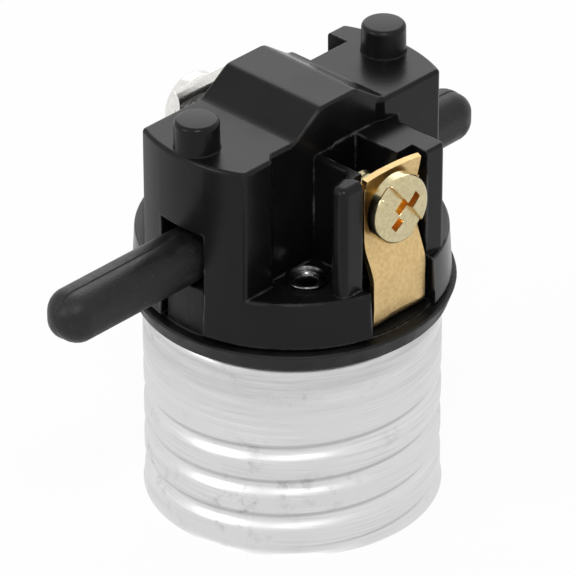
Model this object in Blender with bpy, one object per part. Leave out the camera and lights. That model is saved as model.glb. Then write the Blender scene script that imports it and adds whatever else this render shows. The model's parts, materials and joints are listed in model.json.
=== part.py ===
# Lamp socket interior with a push-through switch.
#
# The part stands on the rim of its screw shell. The screw axis is Z, the push bar runs along X,
# the brass terminal looks along -Y and the nickel one along +Y. Heights are counted from the
# shell's rim, and everything hangs on one datum empty, so that the origin lies on the screw axis
# at the flat top of the housing's ridge.

import bpy
import bmesh
from math import atan2, cos, hypot, pi, radians, sin, sqrt, tan
from mathutils import Matrix, Vector

MM = 0.001
SEAT_GAP = 0.3 * MM            # between faces that rest on each other

# Screw shell: drawn aluminium with a rolled right-hand thread
SHELL_HEIGHT = 19.75 * MM
SHELL_RADIUS = 13.5 * MM
SHELL_WALL = 0.4 * MM
RIM_FLARE = 0.15 * MM
SHELL_CORNER = 0.9 * MM
SHELL_LIP_INSET = 6.5 * MM     # of the inturned top's bore behind the housing's face
THREAD_PITCH = 3.63 * MM
THREAD_DEPTH = 0.6 * MM
THREAD_VALLEY = 0.62           # share of the pitch that a groove takes up
THREAD_LENGTH = 12.2 * MM      # height at which the last groove starts to fade
THREAD_START = radians(224)    # direction in which a groove's middle meets the rim

# Housing: moulded drum, two blocks, a ridge between them and the terminal walls
HOUSING_RADIUS = 14.1 * MM
DRUM_DRAFT = 0.25 * MM         # the drum is this much wider at its foot
DRUM_HEIGHT = 4.6 * MM
DRUM_EDGE = 0.2 * MM
BLOCK_HEIGHT = 12.75 * MM      # above the drum
RIDGE_RISE = 2.2 * MM          # above the blocks
RIDGE_TOP_HALF = 2.3 * MM
RIDGE_FOOT_HALF = 5.5 * MM
RIDGE_HALF_LENGTH = 5.75 * MM
RIDGE_FILLET = 1.2 * MM
BLEND_DIP = 0.03 * MM          # a fillet's foot dips this far into the face that it meets
CORE_HALF_DEPTH = 5.6 * MM
BLOCK_HALF_DEPTH = 5.82 * MM   # far side of both blocks
LEFT_NEAR_DEPTH = 6.45 * MM
RIGHT_NEAR_DEPTH = 6.1 * MM
LEFT_JOG = 8.4 * MM            # where the left block's near side steps back to the core
STEP_START = 5.95 * MM         # a step is cut into the right block's far side from above
STEP_END = 10.7 * MM
STEP_DEPTH = 3.43 * MM
STEP_DROP = 5.0 * MM
EDGE_ROUND = 0.4 * MM
PEG_INSET = 2.26 * MM          # from the housing's rim to a peg's axis
PEG_RADIUS = 1.97 * MM
PEG_HEIGHT = 2.78 * MM
PEG_DRAFT = 0.12 * MM

# Base disc: flange ring, land and the two tongues that close the bar slots from below
FLANGE_MARGIN = 0.45 * MM      # of the flange past the drum's foot
FLANGE_DRAFT = 0.52 * MM
FLANGE_THICKNESS = 1.85 * MM
LAND_INSET = 0.6 * MM          # of the land behind the housing's face
LAND_RISE = 0.1 * MM
TONGUE_SETBACK = 0.35 * MM     # of a tongue behind the housing's face

# Terminal walls, which hold the straps sideways and give them a shoulder to lie on
RIGHT_WALL_HEIGHT = 10.6 * MM  # above the drum, as the next two
LEFT_WALL_HEIGHT = 10.4 * MM
REAR_WALL_HEIGHT = 6.6 * MM
WALL_INSET = 1.5 * MM          # of the walls' outer ends behind the housing's face
POST_WIDTH = 2.65 * MM
POST_DEPTH = 1.6 * MM
POST_NECK = 1.4 * MM           # length of the slope from the web out to the post
POST_SETBACK = 0.1 * MM        # of the post's face behind the right wall's
WEB_THICKNESS = 0.75 * MM
RIGHT_WALL_SIDE = 6.35 * MM
RIGHT_WALL_FLARE = 0.95 * MM   # it widens this much where it leaves the block
FLARE_LENGTH = 1.1 * MM
BACK_SPACE = 4.5 * MM          # room for the screw's end between the walls
BACK_FLOOR_DROP = 0.3 * MM     # its floor lies below the drum's top
BACK_SETBACK = 0.05 * MM       # its end lies this far off the ridge's end face

# Push bar: a long rounded bar with a wider carrier in the middle
BAR_LENGTH = 52.0 * MM
BAR_TRAVEL = 6.7 * MM
BAR_WIDTH = 4.7 * MM
BAR_DEPTH = 4.7 * MM
BAR_CORNER = 1.8 * MM
BAR_SIDE_CLEARANCE = 0.25 * MM
BAR_HEADROOM = 0.85 * MM
BAR_LIFT = 0.05 * MM           # underside above the drum's top
CARRIER_LENGTH = 10.0 * MM
CARRIER_WIDTH = 7.6 * MM
CARRIER_TOP_STEP = 0.6 * MM    # below the bar's top
NOTCH_DEPTH = 0.9 * MM
NOTCH_HALF = 1.7 * MM
RUN_CLEARANCE = 0.3 * MM       # beside and above the carrier, and at its two stops

# Switch contacts
STRIP = 0.6 * MM               # sheet of the straps and fixed contacts
JOINT_INSET = 0.02 * MM        # of the live foot's faces inside the strap's at their joint
BRIDGE_SHEET = 0.5 * MM
BRIDGE_WIDTH = 2.6 * MM
BRIDGE_SPAN = 5.8 * MM
BRIDGE_HEIGHT = 2.5 * MM
POCKET_CLEARANCE = 0.3 * MM
SPRING_RADIUS = 1.3 * MM       # to the middle of the wire
SPRING_WIRE = 0.4 * MM
SPRING_TURNS = 4.0
SPRING_HEIGHT = 2.9 * MM
PAD_LENGTH = 3.2 * MM
PAD_WIDTH = 2.0 * MM
PAD_CORNER = 0.6 * MM

# Detent: a bowed leaf whose nose drops into the bar's notches
LEAF_SHEET = 0.35 * MM
LEAF_WIDTH = 3.6 * MM
LEAF_SPAN = 12.4 * MM
LEAF_HEIGHT = 5.2 * MM
LEAF_POCKET_MARGIN = 0.4 * MM

# Terminal straps and their screws
STRAP_WIDTH = 6.6 * MM
STRAP_SHIFT = 0.25 * MM        # of the strap's middle towards +X on the brass side
SLOT_CLEARANCE = 0.45 * MM     # between strap and walls
STRAP_INSET = 1.15 * MM        # of its lower flat behind the housing's face
STRAP_SET = 1.25 * MM          # of its upper flat behind the lower one
REAR_SETBACK = 0.65 * MM       # the nickel strap and its screw stand this much nearer the axis
STRAP_BEND = 0.9 * MM
STRAP_FOOT = 2.9 * MM          # how far the full-width foot runs in past the shoulder
STRAP_LOWER_HEIGHT = 5.3 * MM  # top of the lower flat, above the base
STRAP_SLANT_HEIGHT = 2.9 * MM
STRAP_KNEE = 0.5 * MM          # half the height of each soft bend
LIP_STEP = 0.1 * MM            # outward step right at the lip's fold
LIP_SPREAD = 0.2               # outward run of the lip for each unit of its rise
LIP_SHORTEST = 0.2 * MM
LIP_ARC_RADIUS = 5.5 * MM
LIP_ARC_DROP = 2.2 * MM        # centre of the lip's bend below the screw
LIP_ARC_SHIFT = -0.6 * MM      # and beside it
STRAP_TOP = 14.75 * MM         # above the base
STRAP_CROWN = 0.5 * MM
SCREW_HEIGHT = 11.5 * MM       # above the base
SCREW_SHIFT = -0.2 * MM
HEAD_RADIUS = 3.12 * MM
HEAD_THICKNESS = 1.75 * MM
HEAD_STANDOFF = 0.6 * MM       # the screw is delivered backed out
SHANK_RADIUS = 1.9 * MM
SHANK_ROOM = 2.25 * MM         # from the brass screw's end to the ridge's end face
SHANK_POINT = 0.5 * MM
HEAD_CROWN = 0.12 * MM
HEAD_CHAMFER = 0.1 * MM        # under the head
DRIVE_DEPTH = 0.9 * MM
DRIVE_WIDTH = 0.95 * MM
CROSS_LENGTH = 3.4 * MM
DRIVE_TURN = radians(47)

# Rivets
EYELET_INSET = 3.96 * MM       # from the housing's rim to an eyelet's axis
EYELET_TURN = radians(231.2)   # direction of the front one
EYELET_SHANK = 1.4 * MM
EYELET_BORE = 1.0 * MM
EYELET_HEAD = 1.85 * MM
EYELET_HEAD_THICKNESS = 0.4 * MM
RIVET_SHANK = 1.1 * MM
RIVET_HEAD = 1.6 * MM
RIVET_HEAD_THICKNESS = 0.55 * MM
RIVET_MARGIN = 0.4 * MM        # of sheet round a rivet's head
LOAD_RIVET_ROOM = 2.95 * MM     # from the rivet's axis to the nickel strap's foot
LOAD_RIVET_SHANK = 0.6 * MM
LOAD_RIVET_HEAD = 0.95 * MM

# Centre contact: a springy tongue under the disc
TONGUE_SHEET = 0.4 * MM
TONGUE_WIDTH = 2.4 * MM
TONGUE_FLAT = 1.5 * MM         # from the rivet to where the bend starts
TONGUE_DROP = 2.6 * MM
TONGUE_TIP = 2.2 * MM
TONGUE_UPTURN = 0.6 * MM       # rise of the tip

# Places in plan that follow from the housing's radius
DRUM_FOOT_RADIUS = HOUSING_RADIUS + DRUM_DRAFT
FLANGE_RADIUS = DRUM_FOOT_RADIUS + FLANGE_MARGIN
FLANGE_FOOT_RADIUS = FLANGE_RADIUS - FLANGE_DRAFT
LAND_RADIUS = HOUSING_RADIUS - LAND_INSET
SHELL_LIP_RADIUS = HOUSING_RADIUS - SHELL_LIP_INSET
PEG_PLACE = HOUSING_RADIUS - PEG_INSET
WALL_REACH = HOUSING_RADIUS - WALL_INSET
STRAP_LOWER_REACH = HOUSING_RADIUS - STRAP_INSET
STRAP_UPPER_REACH = STRAP_LOWER_REACH - STRAP_SET
SHANK_LENGTH = STRAP_UPPER_REACH + HEAD_STANDOFF - RIDGE_HALF_LENGTH - SHANK_ROOM
EYELET_REACH = HOUSING_RADIUS - EYELET_INSET
EYELET_PLACE = (EYELET_REACH * cos(EYELET_TURN), EYELET_REACH * sin(EYELET_TURN))

# Heights that follow, counted from the rim
BASE_BOTTOM = SHELL_HEIGHT + SEAT_GAP
BASE_TOP = BASE_BOTTOM + FLANGE_THICKNESS + LAND_RISE
HOUSING_BOTTOM = BASE_TOP + SEAT_GAP
DRUM_TOP = HOUSING_BOTTOM + DRUM_HEIGHT
BLOCK_TOP = DRUM_TOP + BLOCK_HEIGHT
RIDGE_TOP = BLOCK_TOP + RIDGE_RISE
STRIP_BOTTOM = BASE_TOP + SEAT_GAP
STRIP_TOP = STRIP_BOTTOM + STRIP
BAR_BOTTOM = DRUM_TOP + BAR_LIFT
BAR_AXIS = BAR_BOTTOM + BAR_DEPTH / 2
BAR_TOP = BAR_BOTTOM + BAR_DEPTH
SLOT_TOP = BAR_TOP + BAR_HEADROOM
SLOT_HALF = BAR_WIDTH / 2 + BAR_SIDE_CLEARANCE
BAR_REST = -BAR_TRAVEL / 2                     # place of the bar's middle in the photo's state
BRIDGE_BOTTOM = STRIP_TOP + SEAT_GAP
BRIDGE_TOP = BRIDGE_BOTTOM + BRIDGE_HEIGHT
CARRIER_BOTTOM = BRIDGE_BOTTOM + BRIDGE_HEIGHT / 2
CARRIER_TOP = BAR_TOP - CARRIER_TOP_STEP
SPRING_BOTTOM = BRIDGE_TOP + SEAT_GAP
POCKET_TOP = SPRING_BOTTOM + SPRING_HEIGHT + SEAT_GAP
BAY_HALF_LENGTH = CARRIER_LENGTH / 2 + BAR_TRAVEL / 2 + RUN_CLEARANCE
BAY_HALF_WIDTH = CARRIER_WIDTH / 2 + RUN_CLEARANCE
BAY_TOP = CARRIER_TOP + RUN_CLEARANCE
CONTACT_PLACE = BAR_TRAVEL / 2                 # where the bridge stands when the lamp is on
LEAF_NOSE = BAR_TOP - NOTCH_DEPTH + SEAT_GAP
LEAF_TOP = LEAF_NOSE + LEAF_HEIGHT
LEAF_CEILING = LEAF_TOP + SEAT_GAP
SHOULDER = STRAP_UPPER_REACH - STRIP - SEAT_GAP
FOOT_END = SHOULDER - STRAP_FOOT
RIVET_ON_STRAP = FOOT_END + RIVET_MARGIN + RIVET_HEAD
NEUTRAL_RIVET_PLACE = RIVET_ON_STRAP - REAR_SETBACK
LOAD_RIVET_OFFSET = FOOT_END - REAR_SETBACK - LOAD_RIVET_ROOM
SLOT_LEFT = STRAP_SHIFT - STRAP_WIDTH / 2 - SLOT_CLEARANCE
SLOT_RIGHT = STRAP_SHIFT + STRAP_WIDTH / 2 + SLOT_CLEARANCE
SINK = 0.8 * MM                # how far a joined form reaches into its neighbour
OVERCUT = 2.0 * MM             # how far a cutter reaches past what it cuts
ROUND_STEPS = 48


def material(name, colour, roughness, metallic=0.0):
    """A plain Principled material."""
    made = bpy.data.materials.new(name)
    made.use_nodes = True
    made.diffuse_color = (*colour, 1.0)
    shader = made.node_tree.nodes["Principled BSDF"]
    shader.inputs["Base Color"].default_value = (*colour, 1.0)
    shader.inputs["Roughness"].default_value = roughness
    shader.inputs["Metallic"].default_value = metallic
    return made


def add_object(name, mesh_data, finish=None, smooth_angle=radians(35)):
    """Turn a bmesh into an object on the datum, with its faces pointing out."""
    bmesh.ops.recalc_face_normals(mesh_data, faces=mesh_data.faces)
    bmesh.ops.triangulate(mesh_data, faces=[f for f in mesh_data.faces if len(f.verts) > 4])
    mesh = bpy.data.meshes.new(name)
    mesh_data.to_mesh(mesh)
    mesh_data.free()
    mesh.shade_smooth()
    mesh.set_sharp_from_angle(angle=smooth_angle)
    made = bpy.data.objects.new(name, mesh)
    bpy.context.scene.collection.objects.link(made)
    made.parent = bpy.data.objects["datum"]
    if finish:
        mesh.materials.append(finish)
    return made


def arc(radius, first, last, steps, centre=(0.0, 0.0)):
    """Points on an arc, both ends included."""
    turns = [first + (last - first) * i / steps for i in range(steps + 1)]
    return [(centre[0] + radius * cos(t), centre[1] + radius * sin(t)) for t in turns]


def prism(outline, bottom, top, rounding=0.0, steps=3):
    """An upright prism on an outline in XY; its top edge can be rounded."""
    form = bmesh.new()
    foot = form.faces.new([form.verts.new((x, y, bottom)) for x, y in outline])
    grown = bmesh.ops.extrude_face_region(form, geom=[foot])["geom"]
    raised = [v for v in grown if isinstance(v, bmesh.types.BMVert)]
    bmesh.ops.translate(form, verts=raised, vec=(0, 0, top - bottom))
    if rounding:
        rim = [e for e in form.edges if all(v.co.z > top - 1e-7 for v in e.verts)]
        bmesh.ops.bevel(form, geom=rim, offset=rounding, segments=steps, profile=0.5, affect="EDGES")
    return form


def block(low, high):
    """A box between two corners."""
    outline = [(low[0], low[1]), (high[0], low[1]), (high[0], high[1]), (low[0], high[1])]
    return prism(outline, low[2], high[2])


def turned(profile, steps=ROUND_STEPS):
    """A turned solid about Z from (radius, height) points; ends on the axis close it."""
    form = bmesh.new()
    on_axis = profile[0][0] < 1e-9
    points = [form.verts.new((r, 0, z)) for r, z in profile]
    edges = [form.edges.new(pair) for pair in zip(points[:-1], points[1:])]
    if not on_axis:
        edges.append(form.edges.new((points[-1], points[0])))
    bmesh.ops.spin(form, geom=points + edges, cent=(0, 0, 0), axis=(0, 0, 1), angle=2 * pi,
                   steps=steps, use_merge=True)
    bmesh.ops.remove_doubles(form, verts=form.verts, dist=1e-7)
    bmesh.ops.dissolve_degenerate(form, edges=form.edges, dist=1e-8)
    return form


def placed(form, move=(0, 0, 0), turn=None):
    """Turn and move a bmesh before it becomes an object."""
    if turn:
        bmesh.ops.transform(form, matrix=turn, verts=form.verts)
    bmesh.ops.translate(form, verts=form.verts, vec=move)
    return form


def tool_collection(target, step_name, operation):
    """The collection of live tools for one Boolean step of a target, made when first asked for."""
    name = f"{target.name}_{step_name}"
    if name not in bpy.data.collections:
        tools = bpy.data.collections.new(name)
        bpy.context.scene.collection.children.link(tools)
        step = target.modifiers.new(step_name, "BOOLEAN")
        step.operation = operation
        step.solver = "EXACT"
        step.operand_type = "COLLECTION"
        step.collection = tools
    return bpy.data.collections[name]


def add_tool(target, tool_name, form, step_name, operation):
    """Put a form among a target's tools; it stays in the scene as a wire guide."""
    tool = add_object(f"{target.name}_{tool_name}", form)
    bpy.context.scene.collection.objects.unlink(tool)
    tool_collection(target, step_name, operation).objects.link(tool)
    tool.hide_render = True
    tool.display_type = "WIRE"
    return tool


def join(target, tool_name, form):
    return add_tool(target, tool_name, form, "joined", "UNION")


def cut(target, tool_name, form):
    return add_tool(target, tool_name, form, "cut", "DIFFERENCE")


def half_turn():
    return Matrix.Rotation(pi, 4, "Z")


def facing_out(y_sign):
    """Rotation that lays a turned piece's +Z along -Y (front) or +Y (rear)."""
    return Matrix.Rotation(y_sign * pi / 2, 4, "X")


# Screw shell

def groove(turn, height):
    """Depth of the rolled groove at a direction and a height: a rounded valley on a helix."""
    phase = (height / THREAD_PITCH - (turn - THREAD_START) / (2 * pi)) % 1.0
    away = abs(phase - round(phase)) * 2
    valley = 0.5 + 0.5 * cos(pi * min(away / THREAD_VALLEY, 1.0))
    fade_in = min(max(height / (0.3 * THREAD_PITCH), 0.0), 1.0)
    fade_out = min(max((THREAD_LENGTH + 0.5 * THREAD_PITCH - height) / (0.5 * THREAD_PITCH), 0.0), 1.0)
    return THREAD_DEPTH * valley * fade_in * fade_out


def shell_levels():
    """Outer (radius, height) points up the shell; True marks the threaded stretch."""
    step = THREAD_PITCH / 7
    rows = int((THREAD_LENGTH + 0.5 * THREAD_PITCH) / step) + 1
    levels = [(SHELL_RADIUS + RIM_FLARE * max(0.0, 1 - i / 2), i * step, True) for i in range(rows)]
    corner_base = SHELL_HEIGHT - SHELL_CORNER
    bend = arc(SHELL_CORNER, 0, pi / 2, 3, centre=(SHELL_RADIUS - SHELL_CORNER, corner_base))
    return levels + [(r, z, False) for r, z in bend]


def shell_skin(form, levels, thickness):
    """One skin of the shell, as rings of vertices from the rim up and then inwards."""
    rings = []
    inner_corner = SHELL_CORNER - thickness
    for radius, height, threaded in levels:
        ring = []
        for i in range(ROUND_STEPS):
            turn = 2 * pi * i / ROUND_STEPS
            depth = groove(turn, height) if threaded else 0.0
            if threaded:
                r, z = radius - depth - thickness, height
            else:
                share = inner_corner / SHELL_CORNER
                centre_r = SHELL_RADIUS - SHELL_CORNER
                centre_z = SHELL_HEIGHT - SHELL_CORNER
                r = centre_r + (radius - centre_r) * share
                z = centre_z + (height - centre_z) * share
            ring.append(form.verts.new((r * cos(turn), r * sin(turn), z)))
        rings.append(ring)
    lip = [form.verts.new((SHELL_LIP_RADIUS * cos(2 * pi * i / ROUND_STEPS),
                           SHELL_LIP_RADIUS * sin(2 * pi * i / ROUND_STEPS),
                           SHELL_HEIGHT - thickness)) for i in range(ROUND_STEPS)]
    rings.append(lip)
    for low, high in zip(rings[:-1], rings[1:]):
        bridge_rings(form, low, high)
    return rings


def bridge_rings(form, low, high):
    """Quads between two rings of equal count."""
    count = len(low)
    for i in range(count):
        j = (i + 1) % count
        form.faces.new((low[i], low[j], high[j], high[i]))


def make_screw_shell(finish):
    form = bmesh.new()
    levels = shell_levels()
    outer = shell_skin(form, levels, 0.0)
    inner = shell_skin(form, levels, SHELL_WALL)
    bridge_rings(form, outer[0], inner[0])
    bridge_rings(form, outer[-1], inner[-1])
    shell = add_object("screw_shell", form, finish)
    for side, name in ((0, "front_eyelet_hole"), (1, "rear_eyelet_hole")):
        cut(shell, name, eyelet_hole(side, SHELL_HEIGHT - OVERCUT, SHELL_HEIGHT + OVERCUT))
    hole = turned_pin(RIVET_SHANK + SEAT_GAP, SHELL_HEIGHT - OVERCUT, SHELL_HEIGHT + OVERCUT)
    cut(shell, "neutral_rivet_hole", placed(hole, (0, NEUTRAL_RIVET_PLACE, 0)))
    return shell


def turned_pin(radius, bottom, top, steps=24):
    return turned([(0, bottom), (radius, bottom), (radius, top), (0, top)], steps)


def eyelet_hole(side, bottom, top, radius=EYELET_SHANK + SEAT_GAP):
    """A hole for the front (0) or rear (1) eyelet, the rear one half a turn round."""
    sign = -1 if side else 1
    pin = turned_pin(radius, bottom, top)
    return placed(pin, (sign * EYELET_PLACE[0], sign * EYELET_PLACE[1], 0))


# Base disc

def tongue_outline(sign):
    """Plan of the tongue that fills the bar slot under the bar, on the -X or +X side."""
    half = SLOT_HALF - SEAT_GAP
    reach = HOUSING_RADIUS - TONGUE_SETBACK
    side = sqrt(reach ** 2 - half ** 2)
    root = BAY_HALF_LENGTH + SINK
    outline = [(root, -half), (side, -half), (reach, 0), (side, half), (root, half)]
    return [(sign * x, sign * y) for x, y in outline]


def make_base_disc(finish):
    ring_top = BASE_BOTTOM + FLANGE_THICKNESS
    profile = [(0, BASE_BOTTOM), (FLANGE_FOOT_RADIUS, BASE_BOTTOM), (FLANGE_RADIUS, ring_top),
               (LAND_RADIUS, ring_top), (LAND_RADIUS, BASE_TOP), (0, BASE_TOP)]
    disc = add_object("base_disc", turned(profile, 64), finish)
    top = BAR_BOTTOM - SEAT_GAP
    join(disc, "left_tongue", prism(tongue_outline(-1), BASE_TOP - SINK, top, EDGE_ROUND / 2, 2))
    join(disc, "right_tongue", prism(tongue_outline(1), BASE_TOP - SINK, top, EDGE_ROUND / 2, 2))
    low, high = BASE_BOTTOM - OVERCUT, BASE_TOP + OVERCUT
    cut(disc, "front_eyelet_hole", eyelet_hole(0, low, high))
    cut(disc, "rear_eyelet_hole", eyelet_hole(1, low, high))
    neutral = turned_pin(RIVET_SHANK + SEAT_GAP, low, high)
    cut(disc, "neutral_rivet_hole", placed(neutral, (0, NEUTRAL_RIVET_PLACE, 0)))
    load = turned_pin(LOAD_RIVET_SHANK + SEAT_GAP, low, high, 16)
    cut(disc, "load_rivet_hole", placed(load, (CONTACT_PLACE, LOAD_RIVET_OFFSET, 0)))
    return disc


# Housing

def blocks_outline():
    """Plan of both blocks and the core between them, counter-clockwise from the left far corner."""
    def on_rim(depth):
        return atan2(depth, sqrt(HOUSING_RADIUS ** 2 - depth ** 2))

    left = arc(HOUSING_RADIUS, pi - on_rim(BLOCK_HALF_DEPTH), pi + on_rim(LEFT_NEAR_DEPTH), 12)
    right = arc(HOUSING_RADIUS, -on_rim(RIGHT_NEAR_DEPTH), on_rim(BLOCK_HALF_DEPTH), 12)
    near = [(-LEFT_JOG - SINK, -LEFT_NEAR_DEPTH), (-LEFT_JOG, -CORE_HALF_DEPTH),
            (RIDGE_FOOT_HALF - SINK, -CORE_HALF_DEPTH), (RIDGE_FOOT_HALF, -RIGHT_NEAR_DEPTH)]
    far = [(RIDGE_FOOT_HALF, BLOCK_HALF_DEPTH), (RIDGE_FOOT_HALF - SINK, CORE_HALF_DEPTH),
           (-SINK, CORE_HALF_DEPTH), (-2 * SINK, BLOCK_HALF_DEPTH)]
    return left + near + right + far


def ridge_profile():
    """Cross-section of the ridge in XZ: flat top, sloped sides and a fillet at each foot."""
    slope = atan2(RIDGE_RISE, RIDGE_FOOT_HALF - RIDGE_TOP_HALF)
    reach = RIDGE_FILLET * tan(slope / 2)
    foot = RIDGE_FOOT_HALF + reach
    centre = (foot, BLOCK_TOP + RIDGE_FILLET - BLEND_DIP)
    curve = arc(RIDGE_FILLET, -pi / 2, -pi / 2 - slope, 4, centre=centre)
    soft = EDGE_ROUND * 0.8
    corner = [(RIDGE_TOP_HALF + soft * cos(slope), RIDGE_TOP - soft * sin(slope)),
              (RIDGE_TOP_HALF + soft * 0.25, RIDGE_TOP - soft * 0.08),
              (RIDGE_TOP_HALF - soft, RIDGE_TOP)]
    right = [(foot, DRUM_TOP - SINK / 2)] + curve + corner
    left = [(-x, z) for x, z in reversed(right)]
    return right + left


def ridge_form():
    """The ridge, extruded along Y and softened at both end faces."""
    form = prism(ridge_profile(), -RIDGE_HALF_LENGTH, RIDGE_HALF_LENGTH)
    ends = [e for e in form.edges if abs(e.verts[0].co.z - e.verts[1].co.z) < 1e-7
            and all(v.co.y > BLOCK_TOP - 1e-7 for v in e.verts)]
    bmesh.ops.bevel(form, geom=ends, offset=EDGE_ROUND * 0.6, segments=2, profile=0.5, affect="EDGES")
    return placed(form, turn=Matrix.Rotation(pi / 2, 4, "X"))


def right_wall_outline():
    """The thick wall on the strap's +X side, flared where it leaves the block."""
    root = RIGHT_NEAR_DEPTH - SINK
    side = RIGHT_WALL_SIDE
    flare = RIGHT_WALL_FLARE * (1 + SINK / FLARE_LENGTH)
    tip = [(side - EDGE_ROUND, -WALL_REACH), (side, -WALL_REACH + EDGE_ROUND)]
    return [(-SINK, -root), (-SINK, -WALL_REACH)] + tip + [(side, -RIGHT_NEAR_DEPTH - FLARE_LENGTH),
                                                           (side + flare, -root)]


def left_wall_outline():
    """A thin web with a post at its outer end, on the strap's -X side."""
    root = CORE_HALF_DEPTH - SINK
    web = SHOULDER_LEFT - WEB_THICKNESS
    post = SLOT_LEFT - POST_WIDTH
    inner = WALL_REACH - POST_DEPTH
    face = WALL_REACH - POST_SETBACK
    outer = [(post + EDGE_ROUND, -inner), (post, -inner - EDGE_ROUND), (post, -face + EDGE_ROUND),
             (post + EDGE_ROUND, -face)]
    return [(SINK, -root), (web, -root), (web, -inner + POST_NECK)] + outer + [(SINK, -face)]


SHOULDER_LEFT = SCREW_SHIFT - BACK_SPACE / 2
SHOULDER_RIGHT = SCREW_SHIFT + BACK_SPACE / 2


def at_rear(form):
    """Half a turn round to the nickel strap, and in to where that stands."""
    return placed(form, (0, -REAR_SETBACK, 0), half_turn())


def strap_slot(top):
    """Cutter for the strap's own slot, from under the drum up through both walls."""
    low = (SLOT_LEFT, -DRUM_FOOT_RADIUS - OVERCUT, HOUSING_BOTTOM - OVERCUT)
    return block(low, (SLOT_RIGHT, -SHOULDER, top + OVERCUT))


def back_space(top):
    """Cutter for the room behind the strap, between the shoulders."""
    low = (SHOULDER_LEFT, -SHOULDER - OVERCUT, DRUM_TOP - BACK_FLOOR_DROP)
    return block(low, (SHOULDER_RIGHT, -RIDGE_HALF_LENGTH - BACK_SETBACK, top + OVERCUT))


def make_housing(finish):
    wall = [(DRUM_FOOT_RADIUS, HOUSING_BOTTOM), (HOUSING_RADIUS, DRUM_TOP - DRUM_EDGE)]
    drum = [(0, HOUSING_BOTTOM)] + wall + [(HOUSING_RADIUS - DRUM_EDGE, DRUM_TOP), (0, DRUM_TOP)]
    housing = add_object("switch_housing", turned(drum, 64), finish)
    join(housing, "blocks", prism(blocks_outline(), DRUM_TOP - SINK, BLOCK_TOP, EDGE_ROUND))
    join(housing, "ridge", ridge_form())
    for sign, name in ((-1, "left_peg"), (1, "right_peg")):
        join(housing, name, placed(peg_form(), (sign * PEG_PLACE, 0, 0)))
    cut(housing, "far_step", block((STEP_START, STEP_DEPTH, BLOCK_TOP - STEP_DROP),
                                   (STEP_END, BLOCK_HALF_DEPTH + OVERCUT, BLOCK_TOP + OVERCUT)))
    add_terminal_walls(housing)
    cut_switch_bay(housing)
    cut_fastenings(housing)
    return housing


def peg_form():
    """A moulded peg with a little draft and a rounded top."""
    top = BLOCK_TOP + PEG_HEIGHT
    curve = arc(EDGE_ROUND, 0, pi / 2, 3, centre=(PEG_RADIUS - EDGE_ROUND, top - EDGE_ROUND))
    profile = [(0, BLOCK_TOP - SINK), (PEG_RADIUS + PEG_DRAFT, BLOCK_TOP - SINK),
               (PEG_RADIUS + PEG_DRAFT, BLOCK_TOP)] + curve + [(0, top)]
    return turned(profile, 32)


def add_terminal_walls(housing):
    """Front walls as seen, lower ones half a turn round, then the slots between them."""
    bottom = DRUM_TOP - SINK
    right_top = DRUM_TOP + RIGHT_WALL_HEIGHT
    left_top = DRUM_TOP + LEFT_WALL_HEIGHT
    rear_top = DRUM_TOP + REAR_WALL_HEIGHT
    join(housing, "front_right_wall", prism(right_wall_outline(), bottom, right_top, EDGE_ROUND))
    join(housing, "front_left_wall", prism(left_wall_outline(), bottom, left_top, EDGE_ROUND))
    rear_right = prism(right_wall_outline(), bottom, rear_top, EDGE_ROUND)
    rear_left = prism(left_wall_outline(), bottom, rear_top - SEAT_GAP, EDGE_ROUND)
    join(housing, "rear_left_wall", placed(rear_right, turn=half_turn()))
    join(housing, "rear_right_wall", placed(rear_left, turn=half_turn()))
    cut(housing, "front_strap_slot", strap_slot(right_top))
    cut(housing, "front_back_space", back_space(right_top))
    cut(housing, "rear_strap_slot", at_rear(strap_slot(right_top)))
    cut(housing, "rear_back_space", placed(back_space(rear_top), turn=half_turn()))


def cut_switch_bay(housing):
    """The bar's channel, the carrier's bay and the leaf's pocket, all open from below."""
    low = HOUSING_BOTTOM - OVERCUT
    reach = DRUM_FOOT_RADIUS + OVERCUT
    cut(housing, "bar_channel", block((-reach, -SLOT_HALF, low), (reach, SLOT_HALF, SLOT_TOP)))
    cut(housing, "carrier_bay", block((-BAY_HALF_LENGTH, -BAY_HALF_WIDTH, low - SINK),
                                      (BAY_HALF_LENGTH, BAY_HALF_WIDTH, BAY_TOP)))
    span = LEAF_SPAN / 2 + LEAF_POCKET_MARGIN
    width = LEAF_WIDTH / 2 + LEAF_POCKET_MARGIN
    cut(housing, "leaf_pocket", block((-span, -width, BAR_AXIS), (span, width, LEAF_CEILING)))


def cut_fastenings(housing):
    """Eyelet holes and the shallow reliefs over the straps' feet and rivet heads."""
    low = HOUSING_BOTTOM - OVERCUT
    cut(housing, "front_eyelet_hole", eyelet_hole(0, low - SINK, DRUM_TOP + OVERCUT))
    cut(housing, "rear_eyelet_hole", eyelet_hole(1, low - SINK, DRUM_TOP + OVERCUT))
    roof = STRIP_TOP + SEAT_GAP
    half = PAD_LENGTH / 2 + SEAT_GAP
    left, right = CONTACT_PLACE - half, CONTACT_PLACE + half
    cut(housing, "live_foot_relief", block((left, -FOOT_END - OVERCUT, low), (right, 0, roof)))
    cut(housing, "live_strap_relief", foot_relief(roof))
    head_roof = roof + RIVET_HEAD_THICKNESS + SEAT_GAP
    far = LOAD_RIVET_OFFSET + LOAD_RIVET_HEAD + 2 * SEAT_GAP
    cut(housing, "load_contact_relief", block((left, 0, low - SINK), (right, far, head_roof)))
    cut(housing, "neutral_strap_relief", at_rear(foot_relief(head_roof)))


def foot_relief(roof):
    """Cutter over a strap's full-width foot, from its end out into the strap's slot."""
    low = (SLOT_LEFT, -SHOULDER - OVERCUT / 2, HOUSING_BOTTOM - OVERCUT - SINK)
    return block(low, (SLOT_RIGHT, -FOOT_END + SEAT_GAP, roof))


# Push bar

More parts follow.
